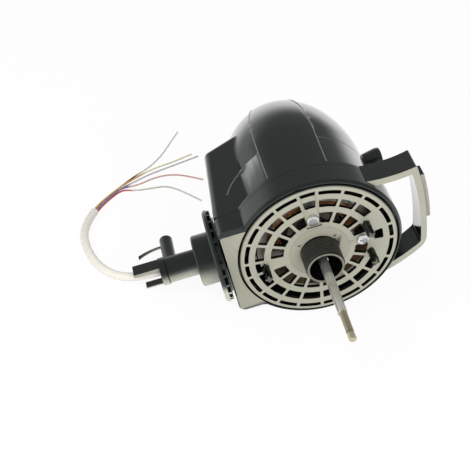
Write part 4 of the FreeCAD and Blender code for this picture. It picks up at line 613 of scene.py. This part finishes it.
SHEATH_ROUTE = [
    (-0.09142, 0.028, -0.0403), (-0.11712, 0.028, -0.05163), (-0.14393, 0.0315, -0.0621),
    (-0.16289, 0.04795, -0.0645), (-0.1714, 0.07532, -0.0645), (-0.1699, 0.10023, -0.0645),
    (-0.15928, 0.12018, -0.0645),
]
CORE_ROUTES = {
    "core_grey_long": [
        (-0.16088, 0.12108, -0.0656), (-0.15652, 0.12919, -0.0656), (-0.14661, 0.14397, -0.0672),
        (-0.13393, 0.15863, -0.0672), (-0.11782, 0.17744, -0.0672), (-0.10175, 0.19277, -0.0672),
        (-0.08778, 0.21221, -0.0672), (-0.0758, 0.23487, -0.0672), (-0.06543, 0.25465, -0.0672),
    ],
    "core_yellow": [
        (-0.16008, 0.12063, -0.064), (-0.15572, 0.12874, -0.064), (-0.14591, 0.14337, -0.0657),
        (-0.13323, 0.15813, -0.0657), (-0.11651, 0.17572, -0.0672), (-0.10094, 0.18923, -0.0672),
        (-0.08575, 0.19864, -0.0672), (-0.0697, 0.20893, -0.0672), (-0.05698, 0.21824, -0.0672),
    ],
    "core_grey": [
        (-0.15928, 0.12018, -0.0656), (-0.15492, 0.12829, -0.0656), (-0.14521, 0.14287, -0.0672),
        (-0.13263, 0.15753, -0.0672), (-0.11772, 0.16977, -0.0672), (-0.10226, 0.18246, -0.0672),
        (-0.08666, 0.19229, -0.0672), (-0.06848, 0.2041, -0.0672), (-0.05097, 0.2154, -0.0672),
    ],
    "core_red": [
        (-0.15848, 0.11973, -0.064), (-0.15412, 0.12784, -0.064), (-0.14451, 0.14237, -0.0657),
        (-0.13203, 0.15693, -0.0657), (-0.1156, 0.16461, -0.0672), (-0.10013, 0.1764, -0.0672),
        (-0.08504, 0.18299, -0.0672), (-0.06879, 0.18346, -0.0672), (-0.05189, 0.17776, -0.0672),
    ],
    "core_pale": [
        (-0.15768, 0.11928, -0.0656), (-0.15332, 0.12739, -0.0656), (-0.14381, 0.14177, -0.0672),
        (-0.13133, 0.15643, -0.0672), (-0.11933, 0.15621, -0.0672), (-0.10509, 0.16013, -0.0672),
        (-0.09041, 0.16528, -0.0672), (-0.07702, 0.16056, -0.0672), (-0.05912, 0.14538, -0.0672),
    ],
}
# Each core's far shade is a painted highlight: past its turning point the thin core is painted pale.
CORE_SHADES = {
    "core_grey_long": ("#5A4730", "#DAD8CE"), "core_yellow": ("#D9A740", "#EDEBC0"),
    "core_grey": ("#77709A", "#CFCDD0"), "core_red": ("#8078A0", "#E4B4AE"),
    "core_pale": ("#D04650", "#D5D9CA"),
}
CORE_HIGHLIGHT_FROM = {"core_grey_long": -0.118, "core_yellow": -0.112, "core_grey": -0.128, "core_red": -0.128,
                   "core_pale": -0.126}
CORE_FADE_MM = 8.0
SHEATH_TURNS_AT = 0.05
SHEATH_FADE_MM = 60.0


def cord_curve(name, route, thickness, material, node):
    """A smooth line whose control points are the route's, with a round section."""
    line = bpy.data.curves.new(name, "CURVE")
    line.dimensions = "3D"
    spline = line.splines.new("NURBS")
    spline.points.add(len(route) - 1)
    for point, spot in zip(spline.points, route):
        point.co = (*spot, 1.0)
    spline.order_u = 3
    spline.use_endpoint_u = True
    line.resolution_u = 16
    line.bevel_depth = thickness / 2
    line.bevel_resolution = 6
    line.use_fill_caps = True
    line.materials.append(material)
    piece = new_object(name, line)
    stand_for(piece, node)
    return piece


class CableOperator(bpy.types.Operator):
    """Lays the cream cable and its five cores."""

    bl_idname = "motor_head.cable"
    bl_label = "Cable and cores"

    def execute(self, context):
        cream = colours().sheath
        vinyl = extruded_vinyl("cream_vinyl", cream, times(0.94, cream), SHEATH_TURNS_AT, SHEATH_FADE_MM, "Y")
        sheath = cord_curve("cable_sheath_line", SHEATH_ROUTE, sizes().sheath, vinyl, "cable_sheath")
        for node, route in CORE_ROUTES.items():
            near, far = (linear(code) for code in CORE_SHADES[node])
            vinyl = extruded_vinyl(node + "_vinyl", near, far, CORE_HIGHLIGHT_FROM[node], CORE_FADE_MM, "X")
            core = cord_curve(node + "_line", route, sizes().core, vinyl, node)
        return {"FINISHED"}


# Places on the upright head: half the box's width, its neck side, and where the flange's painted reflection
# begins

FACE_HALF = 39.8 * MM
NECK_SIDE = -20 * MM
FLANGE_DARK_FROM = 3 * MM
FLANGE_LIGHT_FROM = -8 * MM


def part_box_face(tool):
    """Cuts the casing's front face where the box ends and the plain rim begins."""
    for side in (-1, 1):
        everything = [*tool.verts, *tool.edges, *tool.faces]
        bmesh.ops.bisect_plane(tool, geom=everything, dist=0.001 * MM, plane_co=side * FACE_HALF * UPWARD,
                               plane_no=UPWARD)


def lower_half(middles):
    """The share of painted reflection on the flange: 1 for faces below the shaft's height, fading to 0 just
    above it.
    """
    return smooth_step(-middles[:, 2], -FLANGE_DARK_FROM, -FLANGE_LIGHT_FROM)


def on_box_face(middles):
    """Where the casing's painted reflection goes: 1 for faces on the box's part of the front, on the neck
    side, and 0 for the rest.
    """
    return (middles[:, 0] < NECK_SIDE) & (np.abs(middles[:, 2]) < FACE_HALF)


BEAD_RADIUS = 0.4 * MM
BEAD_SIDES = 6
NO_BEADS_WAY = UPWARD + 0.31 * ACROSS


def tube_mesh(name, spots):
    """A thin round bead along a row of points."""
    along = np.gradient(spots, axis=0)
    along = along / np.linalg.norm(along, axis=1, keepdims=True)
    beside = np.cross(along, NO_BEADS_WAY)
    beside = beside / np.linalg.norm(beside, axis=1, keepdims=True)
    above = np.cross(beside, along)
    turn = np.linspace(0, 2 * math.pi, BEAD_SIDES, endpoint=False)[None, :, None]
    ring = np.cos(turn) * beside[:, None] + np.sin(turn) * above[:, None]
    return grid_mesh(name, spots[:, None] + BEAD_RADIUS * ring)


FAR_OUT = 0.1
SMOOTHINGS = 6


def dropped(tree, starts, ends):
    """The points where lines between points of the upright head meet a surface, evened out along the row."""
    found = []
    for start, end in zip(lay(starts), lay(ends)):
        spot = tree.ray_cast(Vector(start), Vector(end - start).normalized())[0]
        if spot:
            found.append(spot)
    found = np.array(found)
    for _ in range(SMOOTHINGS):
        found[1:-1] = (found[:-2] + 2 * found[1:-1] + found[2:]) / 4
    return found


# The moulded lines, in millimetres behind the front or across, and in degrees from the top

BAND_DEPTHS = (36, 168)
BAND_LEANS = {"band_edge_low": -23.25, "band_edge_high": 23.25}
HIGH_LINE_DEPTH = 70
HIGH_LINE_LEANS = (24, 108)
LOW_LINE_ACROSS = (-24, -30, -36, -40, -44, -48, -52, -55, -57.5)
LOW_LINE_DEPTHS = (70, 70, 70, 69, 65.5, 61, 55.5, 50, 44)


def casing_lines():
    """The moulded lines of the rear shell: both edges of the raised band, and the line that crosses it.

    Each is a row of points on the shell, dropped on it towards the upright head's axis or straight down.
    """
    tool = bmesh.new()
    tool.from_mesh(NODES["rear_shell"].data)
    tree = BVHTree.FromBMesh(tool)
    tool.free()
    lines = {}
    depth = np.linspace(*BAND_DEPTHS, 80) * MM
    axis = np.stack([0 * depth, depth, 0 * depth], -1)
    for name, lean in BAND_LEANS.items():
        angle = math.radians(lean)
        away = np.array([math.sin(angle), 0, math.cos(angle)]) * FAR_OUT
        lines[name] = dropped(tree, axis + away, axis)
    turn = np.radians(np.linspace(*HIGH_LINE_LEANS, 60))
    ring = np.stack([np.sin(turn), 0 * turn, np.cos(turn)], -1)
    middle = np.array([0, HIGH_LINE_DEPTH * MM, 0])
    lines["moulded_line_high"] = dropped(tree, middle + FAR_OUT * ring, middle + 0 * ring)
    fine = np.linspace(0, 1, 50)
    share = np.linspace(0, 1, len(LOW_LINE_ACROSS))
    across = np.interp(fine, share, np.array(LOW_LINE_ACROSS) * MM)
    back = np.interp(fine, share, np.array(LOW_LINE_DEPTHS) * MM)
    above = np.stack([across, back, FAR_OUT + 0 * back], -1)
    lines["moulded_line_low"] = dropped(tree, above, above * np.array([1, 1, 0]))
    return lines


class CasingOperator(bpy.types.Operator):
    """Finishes the front and rear shell in gloss black."""

    bl_idname = "motor_head.casing"
    bl_label = "Casing"

    def execute(self, context):
        plastic = moulded_black("gloss_black_abs", colours().casing_front_reflection)
        rim = moulded_black("gloss_black_abs_rim", colours().casing_front_reflection, wet_from=0.78)
        # Painted reflection: grey painted on the box's forward faces.
        dress("front_shell", "front_casing", rim, sizes().edge, front=(0.93, 0.985, AHEAD, on_box_face),
              shaping=part_box_face)
        dress("rear_shell", "rear_casing", plastic, sizes().edge)
        # The beads' grey is a painted highlight: the glint along the moulded lines' edges.
        edge_highlight, _ = new_finish("painted_edge_highlight_abs", {"Base Color": rgba(linear("#7C817A")), "Roughness": 0.4})
        for name, spots in casing_lines().items():
            place_piece(name, tube_mesh(name, spots), edge_highlight, "rear_shell")
        return {"FINISHED"}


# The rounding of a slot's corner, its shortest and longest edge, and its least turn in radians

SLOT_CORNER = 0.9 * MM
SHORTEST = 2 * MM
LONGEST = 4 * MM
LEAST_TURN = 1.0


def round_slots(tool):
    """Rounds the corners of the slots, whose short edges run straight through the plate.

    Each is rounded by itself, because the limit against overlaps is shared by all the edges of one call.
    """
    corners = []
    for edge in tool.edges:
        if not edge.is_manifold:
            continue
        reach = edge.verts[1].co - edge.verts[0].co
        through = abs(reach.y) > 0.99 * reach.length
        if through and SHORTEST < reach.length < LONGEST and edge.calc_face_angle() > LEAST_TURN:
            corners.append(edge)
    for corner in corners:
        if corner.is_valid:
            bmesh.ops.bevel(tool, geom=[corner], offset=SLOT_CORNER, segments=3, profile=0.5,
                            affect="EDGES", clamp_overlap=True)


# Each post's distance from the shaft in millimetres, and its angle in degrees

POSTS = ((42.5, 20.5), (42.5, -20.5), (44.5, 180.0))
POST_HEIGHT = 15.0 * MM
POST_RADIUS = 2.45 * MM
POST_TAPER = 0.3 * MM
FLUTE_DEPTH = 0.4 * MM
FLUTES = 8
POST_TOP = 0.985
TIP_REFLECTION_SHARE = 0.25


def behind_post_tips(middles):
    """The share of painted reflection: 1 for the plate, and less for the tips of the posts."""
    return np.where(middles[:, 1] < -0.5 * POST_HEIGHT, TIP_REFLECTION_SHARE, 1.0)


def post_mesh(name, distance, angle):
    """The flutes between a post's ribs: a tapering round whose radius swings once for each flute."""
    rows = np.array([0.0, 0.5, POST_TOP, 1.0])[:, None]
    turn = np.linspace(0, 2 * math.pi, 96, endpoint=False)[None, :]
    radius = POST_RADIUS - POST_TAPER * rows + FLUTE_DEPTH * np.cos(FLUTES * (turn - angle))
    radius = np.where(rows > POST_TOP, 0.05 * radius, radius)
    across = distance * math.cos(angle) + radius * np.cos(turn)
    upward = distance * math.sin(angle) + radius * np.sin(turn)
    depth = -POST_HEIGHT * np.minimum(rows, POST_TOP) + 0 * turn
    return grid_mesh(name, lay(np.stack([across, depth, upward], -1)))


class CoverOperator(bpy.types.Operator):
    """Finishes the slotted cover and its ribbed posts."""

    bl_idname = "motor_head.cover"
    bl_label = "Slotted cover"

    def execute(self, context):
        # The cover's grey is a painted reflection on its forward faces.
        plastic = moulded_black("satin_cover_abs", colours().cover)
        dress("front_cover", "slotted_cover", plastic, 0.6 * sizes().edge,
              front=(0.6, 0.95, AHEAD, behind_post_tips), shaping=round_slots)
        for number, (distance, angle) in enumerate(POSTS):
            name = f"post_flutes_{number}"
            place_piece(name, post_mesh(name, distance * MM, math.radians(angle)), plastic, "front_cover")
        return {"FINISHED"}


class HandleOperator(bpy.types.Operator):
    """Finishes the carry handle and its grip pad."""

    bl_idname = "motor_head.handle"
    bl_label = "Carry handle"

    def execute(self, context):
        # The handle's and the grip's greys are painted reflections on their forward faces.
        plastic = moulded_black("handle_abs", colours().handle_front_reflection)
        dress("carry_handle", "loop_handle", plastic, 2 * sizes().edge, front=(0.5, 0.8))
        rubber = moulded_black("grip_rubber", colours().grip, gloss=0.4)
        dress("handle_pad", "grip", rubber, sizes().edge, front=(0.5, 0.8))
        return {"FINISHED"}


class KnobOperator(bpy.types.Operator):
    """Finishes the oscillation knob and its stem."""

    bl_idname = "motor_head.knob"
    bl_label = "Oscillation knob"

    def execute(self, context):
        plastic = moulded_black("knob_abs", colours().casing_front_reflection, gloss=0.3, wet_from=0.8)
        dress("knob", "pull_knob", plastic)
        paint(turned_steel(), "knob_stem")
        return {"FINISHED"}


def turned_steel():
    """Free-cutting steel, turned: grey with fine marks left by the tool."""
    if "turned_steel" in bpy.data.materials:
        return bpy.data.materials["turned_steel"]
    return bare_metal("turned_steel", linear("#A8A8A6"), roughness=0.3, mark_mm=0.4)


class NeckOperator(bpy.types.Operator):
    """Finishes the swivel and the neck with its peg and hook."""

    bl_idname = "motor_head.neck"
    bl_label = "Neck"

    def execute(self, context):
        # The neck's grey is a painted reflection on its lower faces.
        plastic = moulded_black("neck_abs", colours().neck_underside_reflection, gloss=0.25, wet_from=0.75)
        for node, name, front in (("swivel_washer", "washer", None),
                                  ("swivel_flange", "flange", (0.3, 0.85, AHEAD_AND_DOWN, lower_half)),
                                  ("neck_collar", "collar", (0.5, 1.05, AHEAD_AND_DOWN)),
                                  ("neck_stem", "stem", (0.5, 1.05, AHEAD_AND_DOWN))):
            dress(node, name, plastic, sizes().edge, front)
        paint(plastic, "swivel_post")
        paint(turned_steel(), "retaining_ring")
        return {"FINISHED"}


MOUTH = -12 * MM
MOUTH_REFLECTION_SHARE = 0.5
FOOT = -0.05 * MM


def fainter_rim(middles):
    """The share of painted reflection: 1 for the boss's foot, and less for the rim of its mouth."""
    return np.where(middles[:, 1] < MOUTH, MOUTH_REFLECTION_SHARE, 1.0)


def boss_core_mesh():
    """The boss's own form, with its outside drawn in to the root of the thread."""
    # Painted reflection on the boss's forward faces.
    mesh = dressed_mesh("threaded_boss", "boss_core", 0.0, (0.9, 0.99, AHEAD, fainter_rim))
    outside = next(m for m in RECORD["mounts"] if m["name"] == "guard_thread")["dims"]["r_mm"] * MM
    root = outside - sizes().thread_depth
    spots = np.empty(len(mesh.vertices) * 3)
    mesh.vertices.foreach_get("co", spots)
    spots = spots.reshape(-1, 3)
    radius = np.hypot(spots[:, 0], spots[:, 2])
    drawn_in = (spots[:, 1] < FOOT) & (radius > root)
    spots[:, [0, 2]] *= np.where(drawn_in, root / np.maximum(radius, 1e-9), 1.0)[:, None]
    mesh.vertices.foreach_set("co", spots.ravel())
    mesh.update()
    return mesh, outside, root


ROWS_PER_TURN = 14
COLUMNS = 160
SUNK = 0.05 * MM
CREST_HIGHLIGHT = 0.26
CREST_POWER = 8


def thread_mesh(outside, root, start, end):
    """A cylinder whose radius swings between root and outside along a helix.

    The wave is half of one minus the cosine of 2 pi times (y over pitch) plus the angle. The radius is root
    plus the depth times the wave's square root, so that the ridges are round and the grooves narrow, and it
    fades to the root over half a pitch at both ends. The crests carry a painted highlight, a little of the
    cover's grey.
    """
    pitch = sizes().thread_pitch
    rows = int((end - start) / pitch * ROWS_PER_TURN)
    along = np.linspace(start, end, rows)[:, None]
    around = np.linspace(0, 2 * math.pi, COLUMNS, endpoint=False)[None, :]
    wave = 0.5 - 0.5 * np.cos(2 * math.pi * (along / pitch) + around)
    fade = smooth_step(along, start, start + 0.5 * pitch) * (1 - smooth_step(along, end - 0.5 * pitch, end))
    radius = root - SUNK + (outside - root + SUNK) * np.sqrt(wave) * fade
    spots = np.stack([radius * np.cos(around), along + 0 * radius, radius * np.sin(around)], -1)
    mesh = grid_mesh("boss_thread", spots)
    # The crests' painted highlight.
    store(mesh, "front", "POINT", CREST_HIGHLIGHT * wave ** CREST_POWER * fade)
    return mesh


THREAD_STARTS_BEHIND_MOUTH = 0.7 * MM
THREAD_ENDS = -0.9 * MM


class BossOperator(bpy.types.Operator):
    """Cuts the thread on the boss round the shaft."""

    bl_idname = "motor_head.boss"
    bl_label = "Threaded boss"

    def execute(self, context):
        # The boss's grey is a painted reflection, in the cover's colour.
        plastic = moulded_black("boss_abs", colours().cover, gloss=0.3, wet_from=0.95, reflection=0.15)
        core, outside, root = boss_core_mesh()
        place_piece("boss_core", core, plastic, "threaded_boss")
        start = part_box("threaded_boss")[0].y + THREAD_STARTS_BEHIND_MOUTH
        place_piece("boss_thread", thread_mesh(outside, root, start, THREAD_ENDS), plastic, "threaded_boss")
        return {"FINISHED"}


THIN_END = 28.0 * MM
TIP_END = 6.0 * MM


class ShaftOperator(bpy.types.Operator):
    """Finishes the ground shaft."""

    bl_idname = "motor_head.shaft"
    bl_label = "Shaft"

    def execute(self, context):
        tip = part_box("motor_shaft")[0].y
        steel = ground_shaft_steel(linear("#E6E6E1"), colours().tip, tip + THIN_END, tip + TIP_END)
        dress("motor_shaft", "ground_shaft", steel, 0.4 * sizes().edge)
        paint(turned_steel(), "worm")
        return {"FINISHED"}


class ScrewOperator(bpy.types.Operator):
    """Finishes the screws and bolts."""

    bl_idname = "motor_head.screws"
    bl_label = "Screws"

    def execute(self, context):
        zinc = bare_metal("bright_zinc", linear("#ECEDEB"), roughness=0.3, mark_mm=0.3, strength=0.03)
        dress("cover_screws", "cover_screw_heads", zinc, 0.4 * sizes().edge)
        paint(zinc, "rear_screw", "motor_bolts", "gearbox_screws")
        return {"FINISHED"}


BUNDLE_WIDTH = 16.0 * MM
TURN_STEPS = 220
WIRE_SIDES = 6


def winding_mesh(node):
    """Wires laid round the end winding.

    The bundle's section is a rounded square, and each wire keeps a place on its edge while it wanders a
    little along the turn. The section swells and narrows as the coils cross. A wire is a thin tube along
    that line.
    """
    low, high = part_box(node)
    outer = (high.x - low.x) / 2
    inner = outer - BUNDLE_WIDTH
    middle_radius = (outer + inner) / 2
    middle = (low.y + high.y) / 2
    half_wide = (outer - inner) / 2 - sizes().wire
    half_deep = (high.y - low.y) / 2 - sizes().wire
    count = sizes().wires
    wire = np.arange(count)[:, None]
    turn = np.linspace(0, 2 * math.pi, TURN_STEPS, endpoint=False)[None, :]
    random = np.random.default_rng(7)
    phase = random.uniform(0, 2 * math.pi, (count, 1))
    wander = 0.10 * np.sin(3 * turn + phase)
    flutter = 0.05 * np.sin(8 * turn + 2 * phase)
    place = 2 * math.pi * wire / count + wander + flutter
    square = 1 / (np.abs(np.cos(place)) ** 4 + np.abs(np.sin(place)) ** 4) ** 0.25
    swell = 0.93 + 0.07 * np.cos(6 * turn)
    squeeze = 0.95 + 0.05 * np.cos(12 * turn + 1)
    out = middle_radius + half_wide * square * np.cos(place) * swell
    deep = middle + half_deep * square * np.sin(place) * squeeze
    ring = np.linspace(0, 2 * math.pi, WIRE_SIDES, endpoint=False)
    radius = sizes().wire / 2
    reach = out[..., None] + radius * np.cos(ring)
    depth = deep[..., None] + radius * np.sin(ring)
    angle = turn[..., None] + 0 * reach
    spots = np.stack([reach * np.cos(angle), depth, reach * np.sin(angle)], -1)
    index = np.arange(reach.size).reshape(reach.shape)
    ahead = np.roll(index, -1, 1)
    quads = np.stack([index, ahead, np.roll(ahead, -1, 2), np.roll(index, -1, 2)], -1)
    mesh = quad_mesh(node + "_wires", spots, quads)
    store(mesh, "tone", "POINT", np.repeat(random.uniform(0.35, 1.5, count), TURN_STEPS * WIRE_SIDES))
    return mesh


class MotorOperator(bpy.types.Operator):
    """Winds the end windings and finishes the brackets, bearings and cores."""

    bl_idname = "motor_head.motor"
    bl_label = "Motor"

    def execute(self, context):
        copper = enamelled_copper(colours().copper)
        for node in ("front_windings", "rear_windings"):
            place_piece(node + "_wires", winding_mesh(node), copper, node)
        casting = bare_metal("die_cast_zamak", colours().casting, roughness=0.45, mark_mm=1.5, strength=0.4,
                             metallic=0.75)
        dress("front_bracket", "front_casting", casting, sizes().edge)
        paint(casting, "rear_bracket", "front_end_ring", "rear_end_ring")
        bronze = bare_metal("sintered_bronze", linear("#A98454"), roughness=0.42, mark_mm=0.3, strength=0.3)
        paint(bronze, "front_bearing", "rear_bearing")
        paint(stacked_laminations("stacked_laminations", linear("#6E6E70")), "stator_core", "rotor_core")
        return {"FINISHED"}


class GearboxOperator(bpy.types.Operator):
    """Finishes the oscillation gearbox and its linkage."""

    bl_idname = "motor_head.gearbox"
    bl_label = "Gearbox"

    def execute(self, context):
        acetal = moulded_acetal("natural_acetal", linear("#D8D3C2"))
        paint(acetal, "gearbox_case", "gearbox_lid", "worm_wheel")
        paint(turned_steel(), "wheel_spindle", "crank", "drive_link")
        return {"FINISHED"}


STEPS = (StageOperator, CableOperator, CasingOperator, CoverOperator, HandleOperator, KnobOperator,
         NeckOperator, BossOperator, ShaftOperator, ScrewOperator, MotorOperator, GearboxOperator)


class HeadPanel(bpy.types.Panel):
    """Lists the pieces and their sizes and colours."""

    bl_idname = "MOTORHEAD_PT_pieces"
    bl_label = "Motor head"
    bl_space_type = "VIEW_3D"
    bl_region_type = "UI"
    bl_category = "Motor head"

    def draw(self, context):
        for step in STEPS:
            self.layout.operator(step.bl_idname)
        for group in (context.scene.motor_head_sizes, context.scene.motor_head_colours):
            for name in group.bl_rna.properties.keys():
                if name not in ("rna_type", "name"):
                    self.layout.prop(group, name)


CLASSES = (HeadColours, HeadSizes, *STEPS, HeadPanel)


def register():
    """Adds the operators, the panel and their settings."""
    for kind in CLASSES:
        bpy.utils.register_class(kind)
    bpy.types.Scene.motor_head_colours = PointerProperty(type=HeadColours)
    bpy.types.Scene.motor_head_sizes = PointerProperty(type=HeadSizes)


def unregister():
    """Takes away what register added."""
    del bpy.types.Scene.motor_head_sizes
    del bpy.types.Scene.motor_head_colours
    for kind in reversed(CLASSES):
        bpy.utils.unregister_class(kind)


def corners():
    """The object's box as plain lists."""
    return [list(map(float, corner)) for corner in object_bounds()]


def main():
    """Makes every piece."""
    register()
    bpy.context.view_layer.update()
    for step in STEPS:
        group, name = step.bl_idname.split(".")
        getattr(getattr(bpy.ops, group), name)()


if __name__ == "__main__":
    main()
